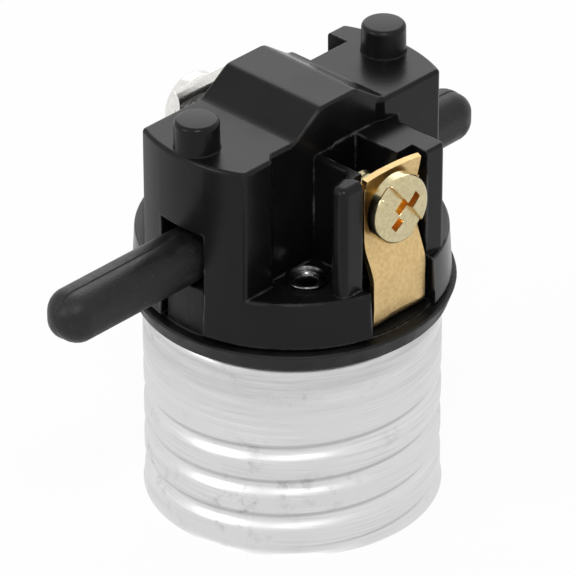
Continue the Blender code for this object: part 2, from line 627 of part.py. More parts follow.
def bar_section(scale=1.0, steps=4):
    """Rounded cross-section of the bar in YZ, about its own axis."""
    corner = BAR_CORNER * scale
    half_y = BAR_WIDTH / 2 * scale
    half_z = BAR_DEPTH / 2 * scale
    points = []
    for quarter, (sy, sz) in enumerate(((1, 1), (-1, 1), (-1, -1), (1, -1))):
        centre = (sy * (half_y - corner), sz * (half_z - corner))
        points += arc(corner, quarter * pi / 2, (quarter + 1) * pi / 2, steps, centre)
    return points


def bar_form():
    """The bar along X with domed ends."""
    form = bmesh.new()
    dome = BAR_DEPTH / 2
    straight = BAR_LENGTH / 2 - dome
    turns = [pi / 2 * share for share in (0.94, 0.8, 0.62, 0.42, 0.2, 0.0)]
    stations = [(-straight - dome * sin(t), cos(t)) for t in turns]
    stations += [(straight + dome * sin(t), cos(t)) for t in reversed(turns)]
    rings = [[form.verts.new((x, y, z)) for y, z in bar_section(scale)] for x, scale in stations]
    for low, high in zip(rings[:-1], rings[1:]):
        bridge_rings(form, low, high)
    form.faces.new(rings[0])
    form.faces.new(rings[-1])
    return form


def notch_form(place):
    """A V notch across the bar's top for the leaf's nose."""
    top = BAR_DEPTH / 2 + SINK
    half = NOTCH_HALF * (1 + SINK / NOTCH_DEPTH)
    profile = [(place - half, top), (place, BAR_DEPTH / 2 - NOTCH_DEPTH), (place + half, top)]
    form = prism(profile, -CARRIER_WIDTH, CARRIER_WIDTH)
    return placed(form, turn=Matrix.Rotation(pi / 2, 4, "X"))


def make_push_bar(finish):
    bar = add_object("push_bar", bar_form(), finish)
    bar.location = (BAR_REST, 0, BAR_AXIS)
    half = CARRIER_LENGTH / 2
    side = CARRIER_WIDTH / 2
    floor = CARRIER_BOTTOM - BAR_AXIS
    guides = [join(bar, "carrier", block((-half, -side, floor), (half, side, CARRIER_TOP - BAR_AXIS)))]
    pocket_x = BRIDGE_WIDTH / 2 + POCKET_CLEARANCE
    pocket_y = BRIDGE_SPAN / 2 + POCKET_CLEARANCE
    pocket = block((-pocket_x, -pocket_y, floor - OVERCUT), (pocket_x, pocket_y, POCKET_TOP - BAR_AXIS))
    guides.append(cut(bar, "contact_pocket", pocket))
    guides.append(cut(bar, "on_notch", notch_form(-CONTACT_PLACE)))
    guides.append(cut(bar, "off_notch", notch_form(CONTACT_PLACE)))
    for guide in guides:
        guide.parent = bar
    return bar


# Contacts and springs

def make_bridge(finish, bar):
    """The moving contact: a small strip with two legs that stand on the fixed contacts."""
    half = BRIDGE_SPAN / 2
    inner = half - BRIDGE_SHEET
    top = BRIDGE_TOP - BRIDGE_BOTTOM
    web = top - BRIDGE_SHEET
    chamfer = BRIDGE_SHEET * 0.6
    legs = [(-half, 0), (-inner, 0), (-inner, web), (inner, web), (inner, 0), (half, 0)]
    crown = [(half, top - chamfer), (half - chamfer, top), (chamfer - half, top), (-half, top - chamfer)]
    profile = legs + crown
    form = prism(profile, -BRIDGE_WIDTH / 2, BRIDGE_WIDTH / 2)
    turn = Matrix(((0, 0, 1, 0), (1, 0, 0, 0), (0, 1, 0, 0), (0, 0, 0, 1)))
    bridge = add_object("bridge_contact", placed(form, turn=turn), finish)
    bridge.parent = bar
    bridge.location = (0, 0, BRIDGE_BOTTOM - BAR_AXIS)
    return bridge


def coil_form(radius, wire, turns, height, sides=8, steps=16):
    """A round-wire compression spring with closed end turns, capped at both ends."""
    form = bmesh.new()
    count = int(turns * steps)
    rise = height - wire
    rings = []
    for i in range(count + 1):
        turn = 2 * pi * i / steps
        share = i / count
        eased = 0.5 - 0.5 * cos(pi * share)
        z = wire / 2 + rise * (0.35 * share + 0.65 * eased)
        outward = Vector((cos(turn), sin(turn), 0))
        centre = outward * radius + Vector((0, 0, z))
        ring = []
        for k in range(sides):
            around = 2 * pi * k / sides
            ring.append(form.verts.new(centre + outward * (wire / 2 * cos(around))
                                       + Vector((0, 0, wire / 2 * sin(around)))))
        rings.append(ring)
    for low, high in zip(rings[:-1], rings[1:]):
        bridge_rings(form, low, high)
    form.faces.new(rings[0])
    form.faces.new(rings[-1])
    return form


def make_bridge_spring(finish, bar):
    coil = coil_form(SPRING_RADIUS, SPRING_WIRE, SPRING_TURNS, SPRING_HEIGHT)
    spring = add_object("bridge_spring", coil, finish)
    spring.parent = bar
    spring.location = (0, 0, SPRING_BOTTOM - BAR_AXIS)
    return spring


def make_detent_spring(finish):
    """A bowed leaf: flat feet against the housing's ceiling and a V nose over the bar."""
    half = LEAF_SPAN / 2
    steps = 28
    line = []
    for i in range(steps + 1):
        x = -half + LEAF_SPAN * i / steps
        share = abs(x) / half
        nose = min(share / 0.16, 1.0)
        bow = 0.5 - 0.5 * cos(pi * min(max((share - 0.1) / 0.8, 0.0), 1.0))
        z = (LEAF_HEIGHT - LEAF_SHEET) * (0.18 * nose + 0.82 * bow)
        line.append(Vector((x, z)))
    form = bmesh.new()
    under, over = [], []
    for i, point in enumerate(line):
        ahead = line[min(i + 1, steps)] - line[max(i - 1, 0)]
        across = Vector((-ahead.y, ahead.x)).normalized() * LEAF_SHEET
        under.append((point.x, point.y))
        over.append((point.x + across.x, point.y + across.y))
    profile = under + over[::-1]
    form = prism(profile, -LEAF_WIDTH / 2, LEAF_WIDTH / 2)
    leaf = add_object("detent_spring", placed(form, turn=Matrix.Rotation(pi / 2, 4, "X")), finish)
    leaf.location = (0, 0, LEAF_NOSE)
    return leaf


def make_load_contact(finish):
    """The fixed contact that leads to the centre of the lamp cap."""
    inner = min(BRIDGE_SPAN / 2 - PAD_WIDTH / 2, LOAD_RIVET_OFFSET - LOAD_RIVET_HEAD - RIVET_MARGIN)
    outer = LOAD_RIVET_OFFSET + LOAD_RIVET_HEAD + SEAT_GAP
    half = PAD_LENGTH / 2
    outline = [(-half, inner), (half, inner), (half, outer - PAD_CORNER), (half - PAD_CORNER, outer),
               (PAD_CORNER - half, outer), (-half, outer - PAD_CORNER)]
    contact = add_object("load_contact", prism(outline, 0, STRIP), finish)
    contact.location = (CONTACT_PLACE, 0, STRIP_BOTTOM)
    hole = turned_pin(LOAD_RIVET_SHANK + SEAT_GAP, -OVERCUT, OVERCUT, 16)
    cut(contact, "rivet_hole", placed(hole, (0, LOAD_RIVET_OFFSET, 0))).parent = contact
    return contact


def make_centre_contact(finish):
    """A tongue that hangs from the load rivet and bends down to the lamp cap's middle."""
    reach = hypot(CONTACT_PLACE, LOAD_RIVET_OFFSET)
    back = LOAD_RIVET_HEAD
    bend_start = TONGUE_FLAT
    steps = 8
    line = [(-back, 0.0), (bend_start, 0.0)]
    for i in range(1, steps + 1):
        share = i / steps
        drop = TONGUE_DROP * (0.5 - 0.5 * cos(pi * share))
        line.append((bend_start + (reach - bend_start) * share, -drop))
    line.append((reach + TONGUE_TIP * 0.5, -TONGUE_DROP + TONGUE_UPTURN * 0.2))
    line.append((reach + TONGUE_TIP, -TONGUE_DROP + TONGUE_UPTURN))
    profile = [(x, z - TONGUE_SHEET) for x, z in line] + [(x, z) for x, z in reversed(line)]
    form = prism(profile, -TONGUE_WIDTH / 2, TONGUE_WIDTH / 2)
    contact = add_object("centre_contact", placed(form, turn=Matrix.Rotation(pi / 2, 4, "X")), finish)
    contact.location = (CONTACT_PLACE, LOAD_RIVET_OFFSET, BASE_BOTTOM - SEAT_GAP)
    contact.rotation_euler = (0, 0, atan2(-LOAD_RIVET_OFFSET, -CONTACT_PLACE))
    hole = turned_pin(LOAD_RIVET_SHANK + SEAT_GAP, -OVERCUT, OVERCUT, 16)
    cut(contact, "rivet_hole", hole).parent = contact
    return contact


def rivet_profile(shank, head, thickness, bottom, top):
    """A solid rivet closed over between two heights, with a head past each."""
    soft = thickness * 0.5
    foot, crown = bottom - thickness, top + thickness
    lower = [(0, foot), (head - soft, foot), (head, bottom - soft), (head, bottom)]
    upper = [(head, top), (head, top + soft), (head - soft, crown), (0, crown)]
    return lower + [(shank, bottom), (shank, top)] + upper


def make_load_rivet(finish):
    low = BASE_BOTTOM - SEAT_GAP - TONGUE_SHEET - SEAT_GAP
    high = STRIP_TOP + SEAT_GAP
    profile = rivet_profile(LOAD_RIVET_SHANK, LOAD_RIVET_HEAD, RIVET_HEAD_THICKNESS, low, high)
    rivet = add_object("centre_contact_rivet", turned(profile, 20), finish)
    rivet.location = (CONTACT_PLACE, LOAD_RIVET_OFFSET, 0)
    return rivet


def make_neutral_rivet(finish):
    low = SHELL_HEIGHT - SHELL_WALL - SEAT_GAP
    high = STRIP_TOP + SEAT_GAP
    profile = rivet_profile(RIVET_SHANK, RIVET_HEAD, RIVET_HEAD_THICKNESS, low, high)
    rivet = add_object("neutral_rivet", turned(profile, 24), finish)
    rivet.location = (0, NEUTRAL_RIVET_PLACE, 0)
    return rivet


def make_eyelet(name, side, finish):
    """A tubular rivet from the housing's floor down through the disc and the shell's top."""
    low = SHELL_HEIGHT - SHELL_WALL - SEAT_GAP
    high = DRUM_TOP + SEAT_GAP
    thick = EYELET_HEAD_THICKNESS
    lower = [(EYELET_BORE, low - thick), (EYELET_HEAD - thick / 2, low - thick),
             (EYELET_HEAD, low - thick / 2), (EYELET_HEAD, low), (EYELET_SHANK, low)]
    upper = [(EYELET_SHANK, high), (EYELET_HEAD, high), (EYELET_HEAD, high + thick / 2),
             (EYELET_HEAD - thick / 2, high + thick)]
    mouth = [(EYELET_BORE + thick, high + thick), (EYELET_BORE, high)]
    eyelet = add_object(name, turned(lower + upper + mouth, 24), finish)
    sign = -1 if side else 1
    eyelet.location = (sign * EYELET_PLACE[0], sign * EYELET_PLACE[1], 0)
    return eyelet


# Terminal straps and screws

def strap_rows(x):
    """Outer face of the strap at one place across it, as (reach, height) from its foot to its lip."""
    bend = arc(STRAP_BEND, -pi / 2, 0, 3, centre=(STRAP_LOWER_REACH - STRAP_BEND, STRAP_BEND))
    rows = [(FOOT_END, 0.0)] + bend
    rows.append((STRAP_LOWER_REACH, STRAP_LOWER_HEIGHT - STRAP_KNEE))
    slant_top = STRAP_LOWER_HEIGHT + STRAP_SLANT_HEIGHT
    slant = (STRAP_UPPER_REACH - STRAP_LOWER_REACH) / STRAP_SLANT_HEIGHT
    rows.append((STRAP_LOWER_REACH + slant * STRAP_KNEE, STRAP_LOWER_HEIGHT + STRAP_KNEE))
    rows.append((STRAP_UPPER_REACH - slant * STRAP_KNEE, slant_top - STRAP_KNEE))
    rows.append((STRAP_UPPER_REACH, slant_top + STRAP_KNEE))
    offset = min(abs(x - SCREW_SHIFT - LIP_ARC_SHIFT), LIP_ARC_RADIUS * 0.9)
    fold = SCREW_HEIGHT - LIP_ARC_DROP + sqrt(LIP_ARC_RADIUS ** 2 - offset ** 2)
    top = STRAP_TOP + STRAP_CROWN * (1 - (2 * (x - STRAP_SHIFT) / STRAP_WIDTH) ** 2)
    rise = max(top - fold, LIP_SHORTEST)
    rows.append((STRAP_UPPER_REACH, (slant_top + fold) / 2))
    rows.append((STRAP_UPPER_REACH, fold - 2 * LIP_STEP))
    rows.append((STRAP_UPPER_REACH + LIP_STEP, fold + LIP_STEP))
    rows.append((STRAP_UPPER_REACH + LIP_STEP + rise * LIP_SPREAD, fold + rise))
    return rows


def strap_form():
    """The bent strap as a sheet, thickened inwards."""
    form = bmesh.new()
    columns = 12
    grid = []
    for i in range(columns + 1):
        x = STRAP_SHIFT - STRAP_WIDTH / 2 + STRAP_WIDTH * i / columns
        grid.append([form.verts.new((x, -reach, height)) for reach, height in strap_rows(x)])
    for left, right in zip(grid[:-1], grid[1:]):
        for k in range(len(left) - 1):
            form.faces.new((left[k], right[k], right[k + 1], left[k + 1]))
    return form


def make_strap(name, side, finish):
    """A terminal strap on the front (0) or rear (1), with its foot and its screw hole."""
    strap = add_object(name, strap_form(), finish)
    strap.location = (0, 0, STRIP_BOTTOM)
    thicken = strap.modifiers.new("sheet", "SOLIDIFY")
    thicken.thickness = STRIP
    thicken.offset = -1.0
    thicken.use_even_offset = True
    guides = []
    if side == 0:
        guides.append(join(strap, "foot", live_foot()))
    hole = turned_pin(SHANK_RADIUS + SEAT_GAP, -OVERCUT, OVERCUT, 24)
    hole = placed(hole, (SCREW_SHIFT, -STRAP_UPPER_REACH + STRIP / 2, SCREW_HEIGHT), facing_out(1))
    guides.append(cut(strap, "screw_hole", hole))
    if side == 1:
        rivet = turned_pin(RIVET_SHANK + SEAT_GAP, -OVERCUT, OVERCUT, 20)
        guides.append(cut(strap, "rivet_hole", placed(rivet, (0, -RIVET_ON_STRAP, 0))))
    for guide in guides:
        guide.parent = strap
    if side == 1:
        strap.location.y = -REAR_SETBACK
        strap.rotation_euler = (0, 0, pi)
    return strap


def live_foot():
    """Flat foot of the live strap, which runs in under the housing to the fixed contact."""
    half = PAD_LENGTH / 2
    inner = BRIDGE_SPAN / 2 - PAD_WIDTH / 2
    outer = FOOT_END + SINK
    left, right = CONTACT_PLACE - half, CONTACT_PLACE + half
    outline = [(left, -inner), (left, -outer), (right, -outer), (right, -inner)]
    return prism(outline, JOINT_INSET, STRIP - JOINT_INSET)


def screw_form():
    """Pan head, plain shank and a thread end; its axis is Z and it lies head up."""
    soft = HEAD_THICKNESS * 0.42
    dome = arc(soft, 0, pi / 2, 3, centre=(HEAD_RADIUS - soft, HEAD_THICKNESS - soft - HEAD_CROWN))
    profile = [(0, -SHANK_LENGTH), (SHANK_RADIUS - SHANK_POINT, -SHANK_LENGTH),
               (SHANK_RADIUS, -SHANK_LENGTH + SHANK_POINT), (SHANK_RADIUS, 0),
               (HEAD_RADIUS - HEAD_CHAMFER, 0), (HEAD_RADIUS, HEAD_CHAMFER)] + dome
    profile.append((HEAD_RADIUS * 0.4, HEAD_THICKNESS))
    profile.append((0, HEAD_THICKNESS))
    return turned(profile, 36)


def make_screw(name, side, finish):
    """A terminal screw on the front (0) or rear (1), backed out a little; origin on its axis."""
    screw = add_object(name, screw_form(), finish)
    slot = block((-HEAD_RADIUS * 1.3, -DRIVE_WIDTH / 2, HEAD_THICKNESS - DRIVE_DEPTH),
                 (HEAD_RADIUS * 1.3, DRIVE_WIDTH / 2, HEAD_THICKNESS + OVERCUT))
    cross = block((-DRIVE_WIDTH / 2, -CROSS_LENGTH / 2, HEAD_THICKNESS - DRIVE_DEPTH * 1.15),
                  (DRIVE_WIDTH / 2, CROSS_LENGTH / 2, HEAD_THICKNESS + OVERCUT * 1.1))
    for tool_name, form in (("drive_slot", slot), ("drive_cross", cross)):
        guide = cut(screw, tool_name, placed(form, turn=Matrix.Rotation(-DRIVE_TURN, 4, "Z")))
        guide.parent = screw
    sign = -1 if side else 1
    reach = STRAP_UPPER_REACH + HEAD_STANDOFF - side * REAR_SETBACK
    screw.location = (sign * SCREW_SHIFT, -sign * reach, STRIP_BOTTOM + SCREW_HEIGHT)
    screw.rotation_euler = (pi / 2, 0, 0 if side == 0 else pi)
    return screw


def clear_scene():
    for item in list(bpy.data.objects):
        bpy.data.objects.remove(item, do_unlink=True)


def main():
    clear_scene()
    datum = bpy.data.objects.new("datum", None)
    bpy.context.scene.collection.objects.link(datum)
    datum.location = (0, 0, -RIDGE_TOP)

    phenolic = material("black_phenolic", (0.022, 0.022, 0.024), 0.28)
    disc_black = material("matt_phenolic", (0.02, 0.02, 0.02), 0.6)
    nylon = material("black_nylon", (0.028, 0.028, 0.03), 0.5)
    aluminium = material("satin_aluminium", (0.82, 0.82, 0.83), 0.35, 1.0)
    brass = material("satin_brass", (0.76, 0.6, 0.33), 0.35, 1.0)
    bright_brass = material("bright_brass", (0.86, 0.76, 0.48), 0.22, 1.0)
    nickel = material("nickel_plate", (0.74, 0.72, 0.68), 0.25, 1.0)
    steel = material("spring_steel", (0.55, 0.56, 0.58), 0.3, 1.0)
    copper = material("contact_copper", (0.72, 0.43, 0.28), 0.35, 1.0)
    dark_eyelet = material("blackened_steel", (0.09, 0.09, 0.09), 0.3, 1.0)

    make_screw_shell(aluminium)
    make_base_disc(disc_black)
    make_housing(phenolic)
    bar = make_push_bar(nylon)
    make_bridge(copper, bar)
    make_bridge_spring(steel, bar)
    make_detent_spring(steel)
    make_load_contact(copper)
    make_centre_contact(brass)
    make_load_rivet(brass)
    make_neutral_rivet(nickel)
    make_eyelet("housing_rivet_front", 0, dark_eyelet)
    make_eyelet("housing_rivet_rear", 1, dark_eyelet)
    make_strap("live_terminal_strap", 0, brass)
    make_strap("neutral_terminal_strap", 1, nickel)
    make_screw("live_terminal_screw", 0, bright_brass)
    make_screw("neutral_terminal_screw", 1, nickel)


main()
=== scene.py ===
# Dresses the lamp socket interior: its pieces in full detail, their finishes, the light and the camera.
# Shapes are drawn in millimetres above the screw shell's rim and set down in metres at the end.

import json
import bpy
import bmesh
from math import atan2, cos, hypot, pi, radians, sin, sqrt, tan
from mathutils import Matrix, Vector, noise

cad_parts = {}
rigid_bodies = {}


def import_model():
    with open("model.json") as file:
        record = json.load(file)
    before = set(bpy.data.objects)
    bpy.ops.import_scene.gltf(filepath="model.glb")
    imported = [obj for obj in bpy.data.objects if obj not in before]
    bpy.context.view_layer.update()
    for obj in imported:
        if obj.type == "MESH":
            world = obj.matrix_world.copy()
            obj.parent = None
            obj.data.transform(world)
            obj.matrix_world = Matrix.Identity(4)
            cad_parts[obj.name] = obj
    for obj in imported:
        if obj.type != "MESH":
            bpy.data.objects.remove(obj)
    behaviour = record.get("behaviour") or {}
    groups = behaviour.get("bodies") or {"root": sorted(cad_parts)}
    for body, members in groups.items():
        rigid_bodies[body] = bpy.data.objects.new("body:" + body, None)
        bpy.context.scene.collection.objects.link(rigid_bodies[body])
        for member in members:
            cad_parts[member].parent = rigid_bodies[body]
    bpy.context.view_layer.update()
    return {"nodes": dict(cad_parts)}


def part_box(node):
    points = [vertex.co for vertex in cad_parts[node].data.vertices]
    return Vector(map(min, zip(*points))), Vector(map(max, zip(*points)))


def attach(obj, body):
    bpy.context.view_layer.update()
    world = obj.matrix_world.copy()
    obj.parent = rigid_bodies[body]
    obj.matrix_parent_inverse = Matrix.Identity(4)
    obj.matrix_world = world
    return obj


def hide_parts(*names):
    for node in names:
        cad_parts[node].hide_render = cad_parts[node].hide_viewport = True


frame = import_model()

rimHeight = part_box("screw_shell")[0].z
toWorld = Matrix.Translation((0, 0, rimHeight)) @ Matrix.Scale(0.001, 4)
halfTurn = Matrix.Rotation(pi, 4, "Z")
laidOver = Matrix.Rotation(pi / 2, 4, "X")


# Drawing helpers

def arcPoints(radius, first, last, steps, centre=(0.0, 0.0)):
    turns = [first + (last - first) * i / steps for i in range(steps + 1)]
    return [(centre[0] + radius * cos(t), centre[1] + radius * sin(t)) for t in turns]


def ringStrip(form, low, high):
    for i in range(len(low)):
        j = (i + 1) % len(low)
        form.faces.new((low[i], low[j], high[j], high[i]))


def closedForm(form, rings):
    # rings of corners joined into one form with a face at either end
    for low, high in zip(rings[:-1], rings[1:]):
        ringStrip(form, low, high)
    form.faces.new(rings[0])
    form.faces.new(rings[-1])
    bmesh.ops.recalc_face_normals(form, faces=form.faces)
    return form


def spun(profile, segments=128):
    # turned about Z; a profile that starts on the axis is closed by it, any other closes on itself
    form = bmesh.new()
    rings = []
    for radius, height in profile:
        if radius < 1e-6:
            rings.append([form.verts.new((0, 0, height))])
        else:
            turns = [2 * pi * i / segments for i in range(segments)]
            rings.append([form.verts.new((radius * cos(t), radius * sin(t), height)) for t in turns])
    pairs = list(zip(rings[:-1], rings[1:]))
    if len(rings[0]) > 1:
        pairs.append((rings[-1], rings[0]))
    for low, high in pairs:
        if len(low) == 1 or len(high) == 1:
            tip, ring = (low[0], high) if len(low) == 1 else (high[0], low)
            for i in range(len(ring)):
                form.faces.new((tip, ring[i], ring[(i + 1) % len(ring)]))
        else:
            ringStrip(form, low, high)
    bmesh.ops.recalc_face_normals(form, faces=form.faces)
    return form


def upright(outline, low, high):
    form = bmesh.new()
    foot = form.faces.new([form.verts.new((x, y, low)) for x, y in outline])
    grown = bmesh.ops.extrude_face_region(form, geom=[foot])["geom"]
    raised = [v for v in grown if isinstance(v, bmesh.types.BMVert)]
    bmesh.ops.translate(form, verts=raised, vec=(0, 0, high - low))
    bmesh.ops.recalc_face_normals(form, faces=form.faces)
    return form


def cuboid(low, high):
    outline = [(low[0], low[1]), (high[0], low[1]), (high[0], high[1]), (low[0], high[1])]
    return upright(outline, low[2], high[2])


def lengthwise(profile, start, end):
    # a profile in XZ drawn out along Y
    return moved(upright(profile, -end, -start), turn=laidOver)


def moved(form, shift=(0, 0, 0), turn=None):
    if turn:
        bmesh.ops.transform(form, matrix=turn, verts=form.verts)
    bmesh.ops.translate(form, verts=form.verts, vec=shift)
    return form


def halfTurned(form):
    return moved(form, turn=halfTurn)


def turnAt(points, i):
    # the two directions at a corner and the angle between them
    before, here, after = (Vector(points[(i + k) % len(points)]) for k in (-1, 0, 1))
    come, go = here - before, after - here
    return come, go, atan2(come.x * go.y - come.y * go.x, come.dot(go))


def roundedOutline(points, radius, steps=6):
    # every corner sharper than 20 degrees becomes an arc
    out = []
    for i, here in enumerate(points):
        come, go, turn = turnAt(points, i)
        if abs(turn) < radians(20):
            out.append(tuple(here))
            continue
        reach = min(radius * tan(abs(turn) / 2), come.length * 0.45, go.length * 0.45)
        side = 1 if turn > 0 else -1
        start = Vector(here) - come.normalized() * reach
        inwards = Vector((-come.y, come.x)).normalized() * side * reach / tan(abs(turn) / 2)
        for k in range(steps + 1):
            share = turn * k / steps
            spoke = Vector((-inwards.x * cos(share) + inwards.y * sin(share),
                            -inwards.x * sin(share) - inwards.y * cos(share)))
            out.append(tuple(start + inwards + spoke))
    return out


def insetOutline(points, depth):
    out = []
    for i, here in enumerate(points):
        come, go, turn = turnAt(points, i)
        way = (come.normalized() + go.normalized()).normalized()
        out.append(tuple(Vector(here) + Vector((-way.y, way.x)) * depth / cos(turn / 2)))
    return out


def softTopped(outline, low, high, soft, steps=5):
    # an upright form whose top edge is rounded; the outline runs counter-clockwise
    form = bmesh.new()
    bends = [pi / 2 * k / steps for k in range(steps + 1)]
    levels = [(0.0, low)] + [(soft * (1 - cos(t)), high - soft + soft * sin(t)) for t in bends]
    rings = [[form.verts.new((x, y, z)) for x, y in insetOutline(outline, depth)] for depth, z in levels]
    return closedForm(form, rings)


def workObject(form, name="work"):
    mesh = bpy.data.meshes.new(name)
    form.to_mesh(mesh)
    form.free()
    made = bpy.data.objects.new(name, mesh)
    bpy.context.scene.collection.objects.link(made)
    return made


def takenMesh(work):
    # the mesh with its modifiers applied; the work object goes
    bpy.context.view_layer.update()
    graph = bpy.context.evaluated_depsgraph_get()
    mesh = bpy.data.meshes.new_from_object(work.evaluated_get(graph))
    old = work.data
    bpy.data.objects.remove(work, do_unlink=True)
    bpy.data.meshes.remove(old)
    return mesh


def inFixedOrder(mesh):
    # the solver gives its corners and faces in no fixed order; sorted by place, each run gives the same
    form = bmesh.new()
    order = sorted(range(len(mesh.vertices)), key=lambda i: tuple(mesh.vertices[i].co))
    rank = {old: new for new, old in enumerate(order)}
    corners = [form.verts.new(mesh.vertices[old].co) for old in order]
    rings = []
    for face in mesh.polygons:
        ring = [rank[i] for i in face.vertices]
        first = ring.index(min(ring))
        rings.append(ring[first:] + ring[:first])
    for ring in sorted(rings):
        form.faces.new([corners[i] for i in ring])
    bpy.data.meshes.remove(mesh)
    return form


def built(base, joined=(), carved=()):
    # one closed form out of a base, what joins it and what is carved away
    work = workObject(base)
    spare = []
    for step, operation, forms in (("joined", "UNION", joined), ("carved", "DIFFERENCE", carved)):
        if not forms:
            continue
        tools = bpy.data.collections.new(step)
        bpy.context.scene.collection.children.link(tools)
        for form in forms:
            tool = workObject(form, "tool")
            bpy.context.scene.collection.objects.unlink(tool)
            tools.objects.link(tool)
        boolean = work.modifiers.new(step, "BOOLEAN")
        boolean.operation = operation
        boolean.solver = "EXACT"
        boolean.operand_type = "COLLECTION"
        boolean.collection = tools
        spare.append(tools)
    mesh = takenMesh(work)
    for tools in spare:
        for tool in list(tools.objects):
            bpy.data.objects.remove(tool, do_unlink=True)
        bpy.data.collections.remove(tools)
    form = inFixedOrder(mesh)
    bmesh.ops.remove_doubles(form, verts=form.verts, dist=0.002)
    bmesh.ops.dissolve_limit(form, angle_limit=radians(0.3), verts=form.verts, edges=form.edges)
    bmesh.ops.triangulate(form, faces=[f for f in form.faces if len(f.verts) > 4])
    return form


def softened(form, width, steps, angle):
    # rounds every edge that is sharper than the angle, hollow corners too
    work = workObject(form)
    work.data.shade_smooth()
    bevel = work.modifiers.new("edges", "BEVEL")
    bevel.width = width
    bevel.segments = steps
    bevel.limit_method = "ANGLE"
    bevel.angle_limit = radians(angle)
    bevel.use_clamp_overlap = False
    even = work.modifiers.new("even", "WEIGHTED_NORMAL")
    even.weight = 100
    return takenMesh(work)


def keptPiece(name, mesh, looks, body, replaced=(), sharp=None):
    mesh.transform(toWorld)
    mesh.name = name
    if sharp is not None:
        mesh.shade_smooth()
        mesh.set_sharp_from_angle(angle=radians(sharp))
    faceLooks = [face.material_index for face in mesh.polygons]
    mesh.materials.clear()
    for look in looks if isinstance(looks, list) else [looks]:
        mesh.materials.append(look)
    mesh.polygons.foreach_set("material_index", faceLooks)
    piece = bpy.data.objects.new(name, mesh)
    bpy.context.scene.collection.objects.link(piece)
    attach(piece, body)
    if replaced:
        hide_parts(*replaced)
    return piece


def plainMesh(form):
    mesh = bpy.data.meshes.new("plain")
    form.to_mesh(mesh)
    form.free()
    return mesh


# Shared shader effects

def feed(tree, socket, value):
    # links what comes out of a node and sets anything else on the socket itself
    if isinstance(value, bpy.types.NodeSocket):
        tree.links.new(value, socket)
    elif isinstance(value, tuple):
        socket.default_value = (*value, 1.0)
    else:
        socket.default_value = value


def mathNode(tree, operation, first, second, clamp=False):
    node = tree.nodes.new("ShaderNodeMath")
    node.operation = operation
    node.use_clamp = clamp
    feed(tree, node.inputs[0], first)
    feed(tree, node.inputs[1], second)
    return node.outputs[0]


def rangeNode(tree, value, fromLow, fromHigh, toLow=0.0, toHigh=1.0):
    node = tree.nodes.new("ShaderNodeMapRange")
    node.interpolation_type = "SMOOTHSTEP"
    given = {"Value": value, "From Min": fromLow, "From Max": fromHigh, "To Min": toLow, "To Max": toHigh}
    for label, number in given.items():
        feed(tree, node.inputs[label], number)
    return node.outputs["Result"]


def noiseNode(tree, place, scale, detail, rough):
    node = tree.nodes.new("ShaderNodeTexNoise")
    for label, value in (("Vector", place), ("Scale", scale), ("Detail", detail), ("Roughness", rough)):
        feed(tree, node.inputs[label], value)
    return node.outputs["Fac"]


def startGroup(name, values, results):
    # a node group with its inputs, its outputs and the place on the surface
    group = bpy.data.node_groups.new(name, "ShaderNodeTree")
    for label, value in values.items():
        made = group.interface.new_socket(name=label, in_out="INPUT", socket_type="NodeSocketFloat")
        made.default_value = value
    for label in results:
        group.interface.new_socket(name=label, in_out="OUTPUT", socket_type="NodeSocketFloat")
    given, out = group.nodes.new("NodeGroupInput"), group.nodes.new("NodeGroupOutput")
    place = group.nodes.new("ShaderNodeTexCoord").outputs["Object"]
    return group, given.outputs, out.inputs, place


def makeGrainGroup():
    # skin of a moulding: fine grain, slow mottle and stray pale specks
    values = {"Grain Scale": 2200.0, "Mottle Scale": 160.0, "Speck Scale": 1500.0, "Speck Amount": 0.3}
    group, given, out, place = startGroup("mouldedSkin", values, ("Grain", "Mottle", "Specks"))
    group.links.new(noiseNode(group, place, given["Grain Scale"], 4.0, 0.6), out["Grain"])
    group.links.new(noiseNode(group, place, given["Mottle Scale"], 3.0, 0.5), out["Mottle"])
    fine = noiseNode(group, place, given["Speck Scale"], 2.0, 0.7)
    lowered = mathNode(group, "MULTIPLY", given["Speck Amount"], 0.3)
    edge = mathNode(group, "SUBTRACT", 0.82, lowered)
    group.links.new(rangeNode(group, fine, edge, 0.86), out["Specks"])
    return group


def makeEdgeHighlightGroup():
    # painted edge highlights, found where a rounded normal leaves the true one, broken up by noise
    values = {"Sharpness": 0.05, "Break Scale": 700.0}
    group, given, out, place = startGroup("paintedEdgeHighlights", values, ("Highlight",))
    rounded, against = group.nodes.new("ShaderNodeBevel"), group.nodes.new("ShaderNodeVectorMath")
    rounded.samples = 4
    rounded.inputs["Radius"].default_value = 0.00035
    against.operation = "DOT_PRODUCT"
    group.links.new(rounded.outputs["Normal"], against.inputs[0])
    group.links.new(group.nodes.new("ShaderNodeNewGeometry").outputs["Normal"], against.inputs[1])
    corner = mathNode(group, "SUBTRACT", 1.0, against.outputs["Value"])
    full = mathNode(group, "ADD", given["Sharpness"], 0.1)
    edge = rangeNode(group, corner, given["Sharpness"], full)
    broken = rangeNode(group, noiseNode(group, place, given["Break Scale"], 3.0, 0.6), 0.42, 0.62)
    group.links.new(mathNode(group, "MULTIPLY", edge, broken), out["Highlight"])
    return group


